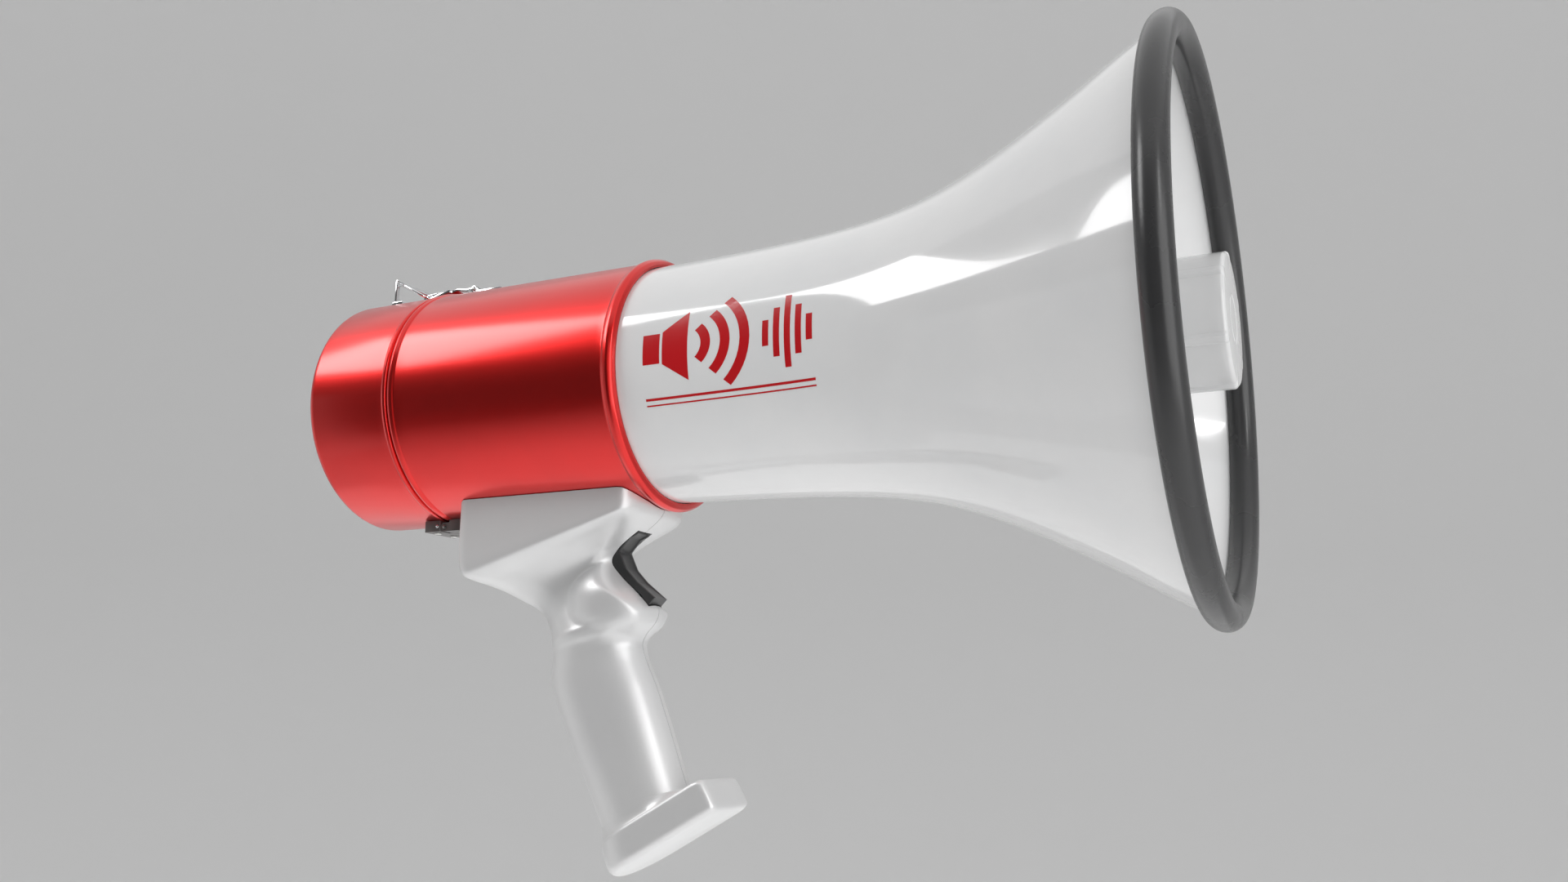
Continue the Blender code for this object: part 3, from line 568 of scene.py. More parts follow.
def rib_share(angle):
    """1 on a rib of the boss, 0 between ribs, with a short slope between."""
    turn = (angle - math.pi + RIB_PHASE) * RIBS / TAU
    off = abs(turn - round(turn)) * TAU / RIBS
    return min(1.0, max(0.0, (math.radians(4.4) - off) / math.radians(1.0)))


def build_boss():
    """The driver's housing in the middle of the mouth: ribs, a flange and a notched nose."""
    def ribbed(x, radius, angle):
        return radius - 1.1 * (1 - rib_share(angle)) if radius > 23.5 else radius

    shell = rounded([(-18.3, 25.4), (-20.0, 25.4, 0.3), (-50.0, 25.4, 2), (-58.0, 21.8, 3),
                     (-70.0, 16.0, 1), (-70.0, 8.8), (-67.0, 8.8), (-49.0, 23.0),
                     (-18.3, 23.0)], 4)
    piece("boss_housing", lathe(shell, 288, radius_at=ribbed), "boss_white",
          nodes=["driver_housing"])

    cap = rounded([(0.0, 0.0), (0.0, 8.0), (-0.2, 8.3), (-0.2, 9.1), (0.0, 9.4), (0.0, 25.5, 1.5),
                   (-4.0, 25.5), (-18.0, 25.45), (-18.0, 23.2), (-3.0, 22.6), (-3.0, 0.0)],
                  5, closed=False)
    piece("boss_nose", lathe(cap, 288, radius_at=ribbed), "boss_white", nodes=["driver_cap"])


# ---------------------------------------------------------------- drum and cover


def build_drum():
    outline = rounded([
        (LIP_X, DRUM_BORE), (LIP_X, 51.6, 0.4), (LIP_X - 0.7, 53.2, 1.2),
        (LIP_X - 2.4, 54.3, 1.6), (LIP_X - 4.2, 53.9, 1.2), (LIP_X - 5.6, DRUM_RADIUS, 1.6),
        (LIP_X - 9.0, DRUM_RADIUS), (SEAM_X + 9.0, DRUM_RADIUS),
        (SEAM_X + 3.4, DRUM_RADIUS, 0.8), (SEAM_X + 2.7, 53.4, 0.5), (SEAM_X + 1.5, 53.75, 0.7),
        (SEAM_X + 0.4, 53.4, 0.5), (SEAM_X, 52.6, 0.3), (SEAM_X, DRUM_BORE)], 5)
    notch = slab((SEAM_X - 2, -10.6, -58.0), (SEAM_X + 5.3, 10.6, -DRUM_RADIUS + 0.6))
    piece("drum_skin", lathe(outline, 192), "red_metal", nodes=["drum_body"], cutters=[notch],
          sharp=40)
    gasket = rounded([(SEAM_X + 2.5, 50.3, 0.4), (SEAM_X - 1.8, 50.3, 0.8),
                      (SEAM_X - 1.8, 48.8, 0.8), (SEAM_X + 2.5, 48.8, 0.4)])
    piece("seam_seal", lathe(gasket, 160), "gasket_rubber", nodes=["seam_gasket"])


def switch_window(face):
    """The opening that the switch slides in."""
    y, z = SWITCH_AT
    return slab((face - 3, y - 7.5, z - 2.6), (face + 8, y + 7.5, z + 2.6), 0.8)


def build_cover():
    face = TAIL_X
    skin_profile = rounded([
        (COVER_X, DRUM_BORE), (COVER_X, 52.5, 0.3), (COVER_X - 0.4, 53.3, 0.4),
        (COVER_X - 1.4, 53.5, 0.6), (COVER_X - 2.5, 52.95, 0.6), (COVER_X - 6.0, DRUM_RADIUS),
        (face, DRUM_RADIUS, 5.0), (face, 44.6, 0.3), (face + 0.5, 44.2, 0.3),
        (face + 0.5, 43.4, 0.3), (face, 43.0, 0.3), (face, 0.0), (face + 2.5, 0.0),
        (face + 2.5, 47.7, 1.5), (face + 5.5, DRUM_BORE, 1.5)], 6)
    holes = [bar((face - 3, *at), (face + 8, *at), radius, segments)
             for at, radius, segments in ((MIC_AT, 8.4, 48), (KNOB_AT, 3.8, 32),
                                          (BUTTON_AT, 5.4, 48))]
    piece("cover_shell", lathe(skin_profile, 192), "red_metal", "cover", nodes=["rear_cover"],
          cutters=[*holes, switch_window(face)], sharp=36)


def build_cover_face():
    """Dial marks, trim rings and screws on the back of the cover."""
    face = TAIL_X
    marks = []
    for number in range(11):
        angle = math.radians(-60 + 300 * number / 10)
        tick = slab((face - 0.12, -0.3, 10.6), (face + 0.2, 0.3, 12.6 if number % 5 else 13.6))
        turn = Matrix.Translation(mm(0, *KNOB_AT)) @ Matrix.Rotation(angle - TAU / 4, 4, "X")
        bmesh.ops.transform(tick, matrix=turn, verts=tick.verts)
        marks.append(tick)
    piece("dial_marks", merged(*marks), "white_print", "cover")
    y, z = SWITCH_AT
    bezel = slab((face - 0.5, y - 10.0, z - 5.0), (face + 0.2, y + 10.0, z + 5.0), 1.2)
    piece("switch_bezel", bezel, "moulded_black", "cover", edge=0.2,
          cutters=[switch_window(face)])
    collar = rounded([(face + 0.2, 8.2), (face - 0.7, 8.2, 0.3), (face - 0.7, 5.7, 0.3),
                      (face + 0.2, 5.7)])
    piece("button_collar", lathe(collar, 64, at=BUTTON_AT), "chrome", "cover")
    for number, at in enumerate(spots(4, 38.5, 45)):
        screw("cover_screw_%d" % (number + 1), (face + 0.05, *at), (-1, 0, 0), 2.3, "cover")


def build_controls():
    build_grille()
    face = TAIL_X - 0.3

    def fluted(x, radius, angle):
        if radius < 7.6 or x > face - 1.2:
            return radius
        return radius - 0.32 * (1 - abs(math.cos(angle * 15))) ** 0.8

    body = rounded([(TAIL_X + 2.4, 0.0), (TAIL_X + 2.4, 3.0), (face, 3.0), (face, 9.0, 0.3),
                    (face - 1.2, 9.0, 0.3), (face - 1.5, 8.7), (face - 6.6, 8.3, 0.5),
                    (face - 7.9, 7.4, 0.8), (face - 7.9, 6.0, 0.3), (face - 7.4, 5.6, 0.3),
                    (face - 7.4, 0.0)], 4, closed=False)
    y, z = KNOB_AT
    groove = slab((face - 9, y - 0.55, z + 2.5), (face - 6.8, y + 0.55, z + 10), 0.2)
    piece("dial_knob", lathe(body, 240, at=KNOB_AT, radius_at=fluted), "moulded_black", "knob",
          nodes=["volume_knob"], cutters=[groove])
    pointer = slab((face - 7.55, y - 0.4, z + 2.7), (face - 6.9, y + 0.4, z + 7.6), 0.1)
    piece("dial_pointer", pointer, "white_print", "knob")
    y, z = SWITCH_AT
    ridges = []
    for number in range(-2, 3):
        middle = y - 3.8 + number * 1.05
        ridges.append(prism([(TAIL_X - 4.1, z - 1.7), (TAIL_X - 4.1, z + 1.7),
                             (TAIL_X - 3.0, z + 1.9), (TAIL_X - 3.0, z - 1.9)],
                            middle - 0.26, middle + 0.26))
    body = slab((TAIL_X - 3.2, y - 6.8, z - 2.0), (TAIL_X + 2.4, y - 0.8, z + 2.0), 0.4)
    piece("slider_grip", merged(body, *ridges), "moulded_black", "slider",
          nodes=["switch_slider"], edge=0.12)
    cap = rounded([(TAIL_X + 4.0, 0.0), (TAIL_X + 4.0, 6.4), (TAIL_X + 3.2, 6.4),
                   (TAIL_X + 3.2, 4.9), (TAIL_X - 3.2, 4.9, 0.8), (TAIL_X - 3.6, 3.6, 1.0),
                   (TAIL_X - 3.0, 1.8, 2.0), (TAIL_X - 2.9, 0.0)], 5, closed=False)
    piece("button_cap", lathe(cap, 72, at=BUTTON_AT), "red_gloss", "button",
          nodes=["siren_button"])


def build_grille():
    """The microphone's dished grille, with slots in five rows."""
    face = TAIL_X
    profile = rounded([(face - 0.3, 0.0), (face - 0.3, 17.5), (face - 1.0, 17.5, 0.4),
                       (face - 1.6, 16.6, 0.5), (face - 3.4, 14.6, 0.8), (face - 4.0, 12.0, 2.0),
                       (face - 4.4, 0.0)], 4, closed=False)
    y, z = MIC_AT
    slots = []
    for number in range(-4, 5):
        height = 2.5 * number
        reach = math.sqrt(max(13.0 ** 2 - height ** 2, 1.0)) - 0.6
        slots.append(slab((face - 6, y - reach, z + height - 0.6),
                          (face - 2.2, y + reach, z + height + 0.6), 0.55))
    piece("mic_cover", lathe(profile, 96, at=MIC_AT), "moulded_black", "cover",
          nodes=["mic_grille"], cutters=[merged(*slots)])


# ---------------------------------------------------------------- hinge and latch


def seat_cutter(radius=SEAT_RADIUS, lip=True):
    """The drum's outside grown by a gap."""
    front, rear, lip_radius = -200, -400, 54.6
    profile = [(front, 0), (front, radius), (rear, radius), (rear, 0)]
    if lip:
        profile[1:2] = [(front, lip_radius), (LIP_X - 4.6, lip_radius), (LIP_X - 6.2, radius)]
    return lathe(profile, 192)


def knuckle(low, high, side):
    """A barrel round the hinge pin with a web to its leaf."""
    x, z = HINGE_AT
    outline = [(x + 3.4 * side, z - 2.0), (x, z - 2.0)]
    for step in range(1, 12):
        angle = math.radians(-90 - 15 * step * side)
        outline.append((x + 2.0 * math.cos(angle), z + 2.0 * math.sin(angle)))
    outline += [(x, z + 1.9), (x + 3.4 * side, z + 1.9)]
    return prism(outline, low, high)


def build_hinge():
    x, z = HINGE_AT
    half, middle = 9.8, 3.3
    leaves = (("drum", "horn", 2.4, 12, [(-half, -middle, 1), (middle, half, 1)]),
              ("cover", "cover", -11, -2.4, [(-middle + 0.3, middle - 0.3, -1)]))
    for leaf, body, start, end, barrels in leaves:
        plate = object_of("hinge_plate_" + leaf, slab((x + start, -half, z - 2.0),
                                                      (x + end, half, -48), 0.6, "Z"))
        carve(plate, [knuckle(*barrel) for barrel in barrels], "UNION")
        piece("hinge_plate_" + leaf, plate, "hinge_steel", body, nodes=["hinge_leaf_" + leaf],
              edge=0.18, cutters=[seat_cutter(DRUM_RADIUS + 0.2, False),
                                  bar((x, -15, z), (x, 15, z), 1.1)])
    pin = bar((x, -half - 0.2, z), (x, half + 0.2, z), 0.9, 24, 0.25)
    piece("hinge_pivot", pin, "bright_steel", nodes=["hinge_pin"])
    for number, (along, body) in enumerate(((7.2, "horn"), (-6.6, "cover"))):
        for side, place in ((-1, "near"), (1, "far")):
            screw("hinge_screw_%d_%s" % (number + 1, place),
                  (x + along, side * 5.6, z - 1.98), (0, 0, -1), 1.7, body)
    screw("hinge_rivet_near", (x - 3.9, -half + 0.03, z + 0.4), (0, -1, 0), 0.75, "cover",
          "chrome")


def build_latch():
    x, z = LEVER_AT
    base = object_of("latch_plate", slab((x + 2.2, -9.0, 52.0), (x + 16.0, 9.0, 54.0), 1.4, "Z"))
    carve(base, [seat_cutter(DRUM_RADIUS + 0.15, False)])
    ears = []
    for side in (-1, 1):
        ear = [(x + 1.7 * math.cos(math.radians(turn)), z + 1.7 * math.sin(math.radians(turn)))
               for turn in range(60, 271, 15)]
        low, high = sorted((side * 6.6, side * 8.2))
        ears.append(prism([*ear, (x + 6.0, 53.4), (x + 6.0, 53.95), (x + 4.0, 54.4)], low, high))
    carve(base, ears, "UNION")
    piece("latch_plate", base, "chrome", nodes=["latch_base"], edge=0.15,
          cutters=[bar((x, -12, z), (x, 12, z), 0.8, 24)])
    pin = bar((x, -8.8, z), (x, 8.8, z), 0.7, 24, 0.2)
    piece("latch_pivot", pin, "bright_steel", nodes=["latch_pin"])
    for side, place in ((-1, "near"), (1, "far")):
        screw("latch_rivet_" + place, (x + 11.5, side * 5.2, 53.8), (0, side * 0.1, 1), 1.1,
              "horn", "chrome")
    build_lever()
    build_bail()
    build_keeper()


def arc(centre, radius, start, end, steps):
    """Points of an arc between two angles in degrees, as (x, z)."""
    turns = [math.radians(start + (end - start) * step / steps) for step in range(steps + 1)]
    return [(centre[0] + radius * math.cos(turn), centre[1] + radius * math.sin(turn))
            for turn in turns]


def build_lever():
    """A bent strip, waisted behind its barrel and rolled into an eye at its tail."""
    x, z = LEVER_AT
    tail_x, tail_z = BAIL_AT
    eye = arc(BAIL_AT, 1.25, 85, 290, 10)
    barrel = arc(LEVER_AT, 1.5, 200, 415, 14)
    outline = [(-343.2, 58.15, 1.0), (-344.3, 58.05, 1.0), *eye, (-344.3, 57.15, 1.0),
               (-343.4, 57.2, 1.0), *barrel]
    half, bite, spare = 6.0, 1.6, 0.4
    waist = [slab((x - 16, low, 50), (x - 5, low + bite + spare, 64), 0.9, "Z")
             for low in (-half - spare, half - bite)]
    piece("latch_arm", prism(rounded(outline, 2), -half, half), "chrome", "lever",
          nodes=["latch_lever"], edge=0.1,
          cutters=[bar((x, -9, z), (x, 9, z), 0.8, 24),
                   bar((tail_x, -9, tail_z), (tail_x, 9, tail_z), 0.75, 24), *waist])


def build_bail():
    """A closed wire loop through the lever's eye."""
    x, z = BAIL_AT
    bar_x, top, half = KEEPER_X + 2.6, 62.6, 9.5
    turn = 1.6
    run = Vector((bar_x - x, 0, top - z)).normalized() * turn
    near = []
    for end_x, end_z, way in ((x, z, 1), (bar_x, top, -1)):
        for share, inset in ((0.0, turn), (0.3, turn * 0.3), (1.0, 0.0))[::way]:
            near.append((end_x + run.x * share * way, inset - half, end_z + run.z * share * way))
    corners = near + [(px, -py, pz) for px, py, pz in reversed(near)]
    piece("latch_wire", tube(corners, 0.6, 16, closed=True), "chrome", "bail",
          nodes=["latch_bail"], sharp=60)


def build_keeper():
    """A plate bent up from the cover, open in the middle, with a hooked top edge."""
    x = KEEPER_X
    outline = rounded([(x - 1.9, 51.2), (x - 1.9, 53.7, 0.3), (x - 0.6, 53.9, 0.4),
                       (x - 0.6, 63.9, 0.8), (x - 0.1, 64.9, 0.5), (x + 1.2, 64.5, 0.3),
                       (x + 0.6, 63.3, 0.3), (x + 0.6, 54.0, 0.5), (x + 4.2, 53.7, 0.3),
                       (x + 4.2, 51.2)], 4)
    window = slab((x - 4, -9.3, 55.4), (x + 5, 9.3, 62.6), 1.2)
    piece("latch_catch", prism(outline, -11.3, 11.3), "chrome", "cover",
          nodes=["latch_keeper"], edge=0.14,
          cutters=[seat_cutter(DRUM_RADIUS + 0.12, False), window])


# ---------------------------------------------------------------- handle


def foot_point(along, up):
    """A point of the foot, from its rear sole corner along the sole and up from it."""
    x, z = SOLE_BACK
    cos, sin = math.cos(FOOT_TILT), math.sin(FOOT_TILT)
    return (x + along * cos - up * sin, z + along * sin + up * cos)


# From the saddle down to the foot: rear point, front point, half width, rear corner and
# front corner, each corner a quarter ellipse (length, width).
SECTIONS = [
    ((-320.6, -36.0), (-232.0, -36.0), 24.9, (3.2, 3.2), (8.4, 24.3)),
    ((-320.8, -60.0), (-232.0, -48.5), 24.9, (3.2, 3.2), (8.4, 24.3)),
    ((-320.8, -71.0), (-232.1, -51.6), 24.9, (3.4, 3.4), (8.4, 24.3)),
    ((-320.2, -76.3), (-232.4, -53.2), 24.9, (3.8, 3.6), (8.4, 24.3)),
    ((-318.7, -79.6), (-232.9, -54.6), 24.5, (4.4, 4.2), (8.4, 23.4)),
    ((-315.8, -81.6), (-234.2, -56.6), 22.2, (7, 7), (8.4, 19)),
    ((-311.5, -83.7), (-237.0, -59.2), 18.6, (11, 11), (8.6, 16)),
    ((-306.0, -86.7), (-241.2, -62.2), 15.4, (15, 13), (9, 14)),
    ((-300.2, -89.9), (-246.0, -65.4), 13.0, (17, 12.5), (10, 12)),
    ((-294.6, -92.6), (-250.5, -69.3), 11.8, (18, 11.5), (12, 11)),
    ((-290.4, -95.6), (-253.0, -74.5), 11.5, (18, 11.3), (13, 11)),
    ((-287.5, -99.4), (-248.2, -81.2), 12.2, (19, 12), (14, 11)),
    ((-285.6, -103.2), (-241.6, -87.4), 13.8, (20, 13.5), (15, 12.6)),
    ((-284.6, -106.4), (-235.4, -93.6), 15.4, (22, 15), (16, 15)),
    ((-284.0, -108.9), (-234.3, -96.4), 16.2, (22, 15.8), (16, 16)),
    ((-283.7, -111.0), (-235.9, -100.6), 15.6, (22, 15.2), (16, 15.4)),
    ((-283.7, -113.2), (-239.8, -104.8), 14.4, (22, 14.2), (16, 14.2)),
    ((-284.0, -116.5), (-241.8, -109.0), 13.8, (21, 13.7), (16, 13.7)),
    ((-284.5, -120.8), (-240.6, -114.0), 13.9, (21, 13.8), (17, 13.8)),
    ((-284.0, -125.0), (-238.4, -119.0), 14.0, (21, 14), (17, 14)),
    ((-282.4, -130.4), (-235.2, -125.6), 14.0, (21, 14), (17, 14)),
    ((-278.1, -140.2), (-231.2, -135.6), 14.0, (21, 14), (17, 14)),
    ((-272.6, -152.0), (-226.6, -147.8), 14.0, (21, 14), (17, 14)),
    ((-265.8, -165.4), (-222.2, -160.0), 14.0, (21, 14), (17, 14)),
]
HALF_RING = 56


def half_section(row, side):
    """Points down one side of a section, from its front to its rear, at even steps of arc."""
    rear, front, half, rear_corner, front_corner = row
    rear, front = Vector((rear[0], 0, rear[1])), Vector((front[0], 0, front[1]))
    length = (front - rear).length
    along = (front - rear) / length
    dense = []
    for end, (long, wide) in ((1, front_corner), (-1, rear_corner)):
        long, wide = min(long, length / 2 - 0.01), min(wide, half - 0.01)
        for step in range(25):
            turn = step / 24 if end > 0 else 1 - step / 24
            angle = math.pi / 2 * turn
            across = half - wide + wide * math.sin(angle)
            forward = (length / 2 - long + long * math.cos(angle)) * end
            dense.append((forward, across))
    dense = [(dense[0][0], SPLIT), *dense, (dense[-1][0], SPLIT)]
    sums = [0.0]
    for one, two in zip(dense, dense[1:]):
        sums.append(sums[-1] + math.dist(one, two))
    points = []
    for step in range(HALF_RING + 1):
        wanted = sums[-1] * step / HALF_RING
        i = min(max(k for k, total in enumerate(sums) if total <= wanted + 1e-9), len(sums) - 2)
        share = (wanted - sums[i]) / max(sums[i + 1] - sums[i], 1e-9)
        forward = dense[i][0] + (dense[i + 1][0] - dense[i][0]) * share
        across = dense[i][1] + (dense[i + 1][1] - dense[i][1]) * share
        centre = rear + along * (length / 2 + forward)
        points.append(Vector((centre.x, across * side, centre.z)))
    return points


def swollen(point, side):
    """Pushes a point of the handle out onto the round swelling under the trigger."""
    long, wide, tall = BULGE_SIZE
    drop = (BULGE_AT[1] - point.z) / tall
    fall = 1.5 * drop ** 3 if drop > 0 else drop ** 2
    reach = 1 - ((point.x - BULGE_AT[0]) / long) ** 2 - fall
    if reach <= 0:
        return point
    bump, skin, blend = wide * math.sqrt(reach), abs(point.y), 2.0
    if abs(bump - skin) < blend:
        share = (bump - skin + blend) / (2 * blend)
        height = skin + (bump - skin) * share + blend * share * (1 - share)
    else:
        height = max(bump, skin)
    share = min(1.0, max(0.0, (skin - 4.0) / 8.0))
    share = share * share * (3 - 2 * share)
    return Vector((point.x, (skin + (height - skin) * share) * side, point.z))


def handle_rows(side):
    """The sections with smooth ones between them, down to just above the foot."""
    rear, front = (foot_point(along, FOOT_THICK + 0.2) for along in GRIP_ENDS)
    last = (rear, front, GRIP_HALF, (21, 14), (17, 14))
    keys = [half_section(row, side) for row in [*SECTIONS, last]]
    columns = [smooth_path([row[i] for row in keys], 5) for i in range(HALF_RING + 1)]
    return [[swollen(point, side) for point in row] for row in zip(*columns)]


def build_handle():
    for side, name, node in ((-1, "grip_shell_near", "handle_left"),
                             (1, "grip_shell_far", "handle_right")):
        rows = handle_rows(side)
        shape = bmesh.new()
        grid = [[shape.verts.new(point * MM) for point in row] for row in rows]
        for one, two in zip(grid, grid[1:]):
            for i in range(HALF_RING):
                quad = (one[i], one[i + 1], two[i + 1], two[i])
                shape.faces.new(quad if side < 0 else reversed(quad))
        obj = object_of(name, shape)
        wall = obj.modifiers.new("wall", "SOLIDIFY")
        wall.thickness = 1.5 * MM
        wall.offset = -1.0
        wall.use_even_offset = True
        bake(obj)
        edge, beyond = side * SPLIT, side * (SPLIT - 60)
        other_half = slab((-400, min(edge, beyond), -260), (-150, max(edge, beyond), 0))
        cutters = [seat_cutter(), trigger_slot(), other_half]
        for x, z in POSTS if side > 0 else ():
            cutters.append(bar((x, 10.4, z), (x, 40, z), 3.4, 32))
        carve(obj, cutters)
        piece(name, obj, "handle_white", nodes=[node], sharp=40)
    for number, (x, z) in enumerate(POSTS):
        shank = bar((x, -10.2, z), (x, 10.9, z), 1.4, 20)
        piece("post_screw_%d" % (number + 1), shank, "bright_steel",
              nodes=["handle_screw_%d" % (number + 1)])
        screw("post_head_%d" % (number + 1), (x, 10.8, z), (0, 1, 0), 2.9, "horn")


def trigger_slot():
    outline = rounded([(-241.4, -59.4, 0.8), (-241.7, -63.0, 0.8), (-222.0, -68.0),
                       (-222.0, -79.9), (-236.9, -95.0, 1), (-243.0, -96.4, 1), (-250.0, -94.4, 2),
                       (-262.0, -88.0, 3), (-264.0, -66.0, 4), (-254.0, -57.0, 3),
                       (-245.5, -57.2, 2)])
    return prism(outline, -SLOT_HALF, SLOT_HALF)


def foot_ring(rear, front, half, rear_corner, front_corner):
    """A whole section of the foot: its near side, then its far side."""
    section = half_section((rear, front, half, rear_corner, front_corner), -1)
    near = [Vector((p.x, min(p.y, -0.05), p.z)) for p in section]
    return near + [Vector((p.x, -p.y, p.z)) for p in reversed(near)]


def fanned(rings):
    """A closed mesh from rings of points, with a fan of triangles over each end."""
    shape = bmesh.new()
    grid = [[shape.verts.new(point * MM) for point in ring] for ring in rings]
    skin(shape, grid)
    for ring in (grid[0], grid[-1]):
        middle = shape.verts.new(sum((v.co for v in ring), Vector()) / len(ring))
        bridge(shape, [middle], ring)
    return shape


def build_foot():
    """A slanting foot: flat sole, rounded heel, flat toe and a soft shoulder at the grip."""
    # Height above the sole, rear end, front end and half width.
    stations = ((0.0, 3.6, 56.6, 12.4), (0.4, 2.2, 58.0, 13.8), (1.2, 1.0, 59.1, 15.0),
                (2.4, 0.2, 59.6, 15.7), (4.0, -0.2, 59.7, 15.9), (7.0, -0.1, 59.7, 15.9),
                (10.0, 0.4, 59.6, 15.9), (12.0, 0.8, 59.4, 15.85), (13.0, 1.0, 58.9, 15.7),
                (13.6, 1.3, 58.4, 15.4), (FOOT_THICK, 1.7, 57.6, 15.1))
    rows = [foot_ring(foot_point(rear, up), foot_point(front, up), half, (19, half - 0.4),
                      (2.6, 2.6)) for up, rear, front, half in stations]
    columns = [smooth_path(column, 3) for column in zip(*rows)]
    build_shoulder()
    piece("foot_block", fanned(zip(*columns)), "handle_white", nodes=["handle_foot"], sharp=48)


def build_shoulder():
    """The fillet where the grip widens into the foot."""
    steps, bottom, rise, flare = 8, 13.9, 5.4, 1.2
    half = 13.9
    rings = []
    for step in range(steps + 1):
        turn = math.pi / 2 * step / steps
        grow = 1 - math.sin(turn)
        climb = rise * (1 - math.cos(turn))
        lean, up = climb * 0.4, bottom + climb
        rings.append(foot_ring(foot_point(1.7 + lean, up),
                               foot_point(44.0 + 6.0 * grow + lean * 0.1, up),
                               half + flare * grow, (21, half - 0.1 + flare * grow),
                               (15, half - 0.1)))
    piece("foot_shoulder", fanned(rings), "handle_white", sharp=48)


def offset_loop(points, amount):
    """Moves a closed (x, z) loop inwards along its corners' bisectors."""
    count = len(points)
    area = sum(a[0] * b[1] - b[0] * a[1] for a, b in zip(points, [*points[1:], points[0]]))
    sign = 1.0 if area > 0 else -1.0
    out = []
    for i in range(count):
        a, b, c = (Vector(points[(i + k) % count]) for k in (-1, 0, 1))
        one = Vector((-(b - a).y, (b - a).x)).normalized() * sign
        two = Vector((-(c - b).y, (c - b).x)).normalized() * sign
        mitre = (one + two).normalized()
        out.append(b + mitre * (amount / max(mitre.dot(one), 0.5)))
    return out


def build_trigger():
    """The finger face is a shallow V with a raised rim down both sides."""
    face = rounded([(-242.0, -60.2), (-242.5, -63.6, 1.6), (-246.4, -65.2, 2.4),
                    (-251.1, -70.4, 0.7), (-247.7, -77.8, 4), (-242.6, -83.2, 5),
                    (-233.4, -90.6)], 5, closed=False)
    back = rounded([(-233.4, -90.6), (-237.3, -94.6, 0.8), (-240.2, -89.0, 3),
                    (-246.0, -86.6, 3), (-259.0, -80.0, 6), (-259.4, -70.0, 6),
                    (-252.5, -60.5, 3), (-249.5, -58.6, 1.5), (-246.5, -58.6, 1.5),
                    (-242.0, -60.2)], 4, closed=False)[1:-1]
    loop = face + back
    half = TRIGGER_HALF
    stations = [(-half, 0.5, 0.0), (-half + 0.15, 0.15, 0.0), (-half + 0.5, 0.0, 0.0),
                (-half + 1.2, 0.0, 0.0), (-half + 1.6, 0.0, 0.55), (-half + 2.3, 0.0, 0.75)]
    stations += [(-y, inset, dip) for y, inset, dip in reversed(stations)]
    shape = bmesh.new()
    rings = []
    for y, inset, dip in stations:
        outer, deep = offset_loop(loop, inset), offset_loop(loop, inset + dip)
        row = []
        for i in range(len(loop)):
            x, z = deep[i] if 0 < i < len(face) - 1 else outer[i]
            row.append(shape.verts.new(mm(x, y, z)))
        rings.append(row)
    skin(shape, rings, capped=True)
    x, z = TRIGGER_AT
    piece("trigger_lever", shape, "trigger_black", "trigger", nodes=["trigger"],
          cutters=[bar((x, -9, z), (x, 9, z), 1.3, 24)], sharp=30)


# ---------------------------------------------------------------- mark on the bell


def on_bell(x, height, lift):
    """A point on the near side of the bell, at an arc height above the axis."""
    radius = bell_radius(x)
    angle = height / radius
    return mm(x, -(radius + lift) * math.cos(angle), (radius + lift) * math.sin(angle))


def patch(corners, across, along):
    """A thin raised print between four (x, height) corners: bottom pair, then top pair."""
    (a, b), (c, d) = corners
    shape = bmesh.new()
    layers = []
    for lift in (-0.02, 0.07):
        rows = []
        for j in range(along + 1):
            t = j / along
            left = Vector(a).lerp(Vector(c), t)
            right = Vector(b).lerp(Vector(d), t)
            rows.append([shape.verts.new(on_bell(*left.lerp(right, i / across), lift))
                         for i in range(across + 1)])
        layers.append(rows)
    edges = []
    for rows in layers:
        for one, two in zip(rows, rows[1:]):
            for i in range(across):
                shape.faces.new((one[i], one[i + 1], two[i + 1], two[i]))
        edges.append(rows[0] + [row[-1] for row in rows[1:]] + rows[-1][-2::-1]
                     + [row[0] for row in rows[-2:0:-1]])
    bridge(shape, *edges)
    return shape


def bar_patch(left, right, low, high, across, along):
    return patch((((left, low), (right, low)), ((left, high), (right, high))), across, along)


def build_mark():
    """A generic sounding-speaker sign with two rules under it."""
    centre_x, centre_height, squash = -197.5, 0.8, 0.82
    arc_span, arc_steps, arc_half = 46, 14, 2.1

    def on_arc(radius, angle):
        return (centre_x + radius * math.cos(angle),
                centre_height + radius * squash * math.sin(angle))

    parts = [bar_patch(-214.5, -207.0, -5.2, 6.8, 4, 8),
             patch((((-205.8, -5.6), (-194.5, -13.0)), ((-205.8, 7.2), (-194.5, 14.6))), 6, 16)]
    for reach in (11.0, 19.5, 28.0):
        edges = (reach - arc_half, reach + arc_half)
        for step in range(arc_steps):
            pairs = []
            for end in (step, step + 1):
                angle = math.radians(-arc_span + 2 * arc_span * end / arc_steps)
                pairs.append([on_arc(radius, angle) for radius in edges])
            parts.append(patch(pairs, 2, 2))
    for number, height in enumerate((5.0, 9.5, 14.0, 9.5, 5.0)):
        left = -162.0 + 4.6 * number
        parts.append(bar_patch(left, left + 2.6, centre_height - height, centre_height + height,
                               2, 14))
    for low, high in ((-19.4, -18.4), (-21.6, -21.0)):
        parts.append(bar_patch(-214.5, -141.0, low, high, 30, 1))
    piece("bell_mark", merged(*parts), "red_print", sharp=60)


# ---------------------------------------------------------------- insides


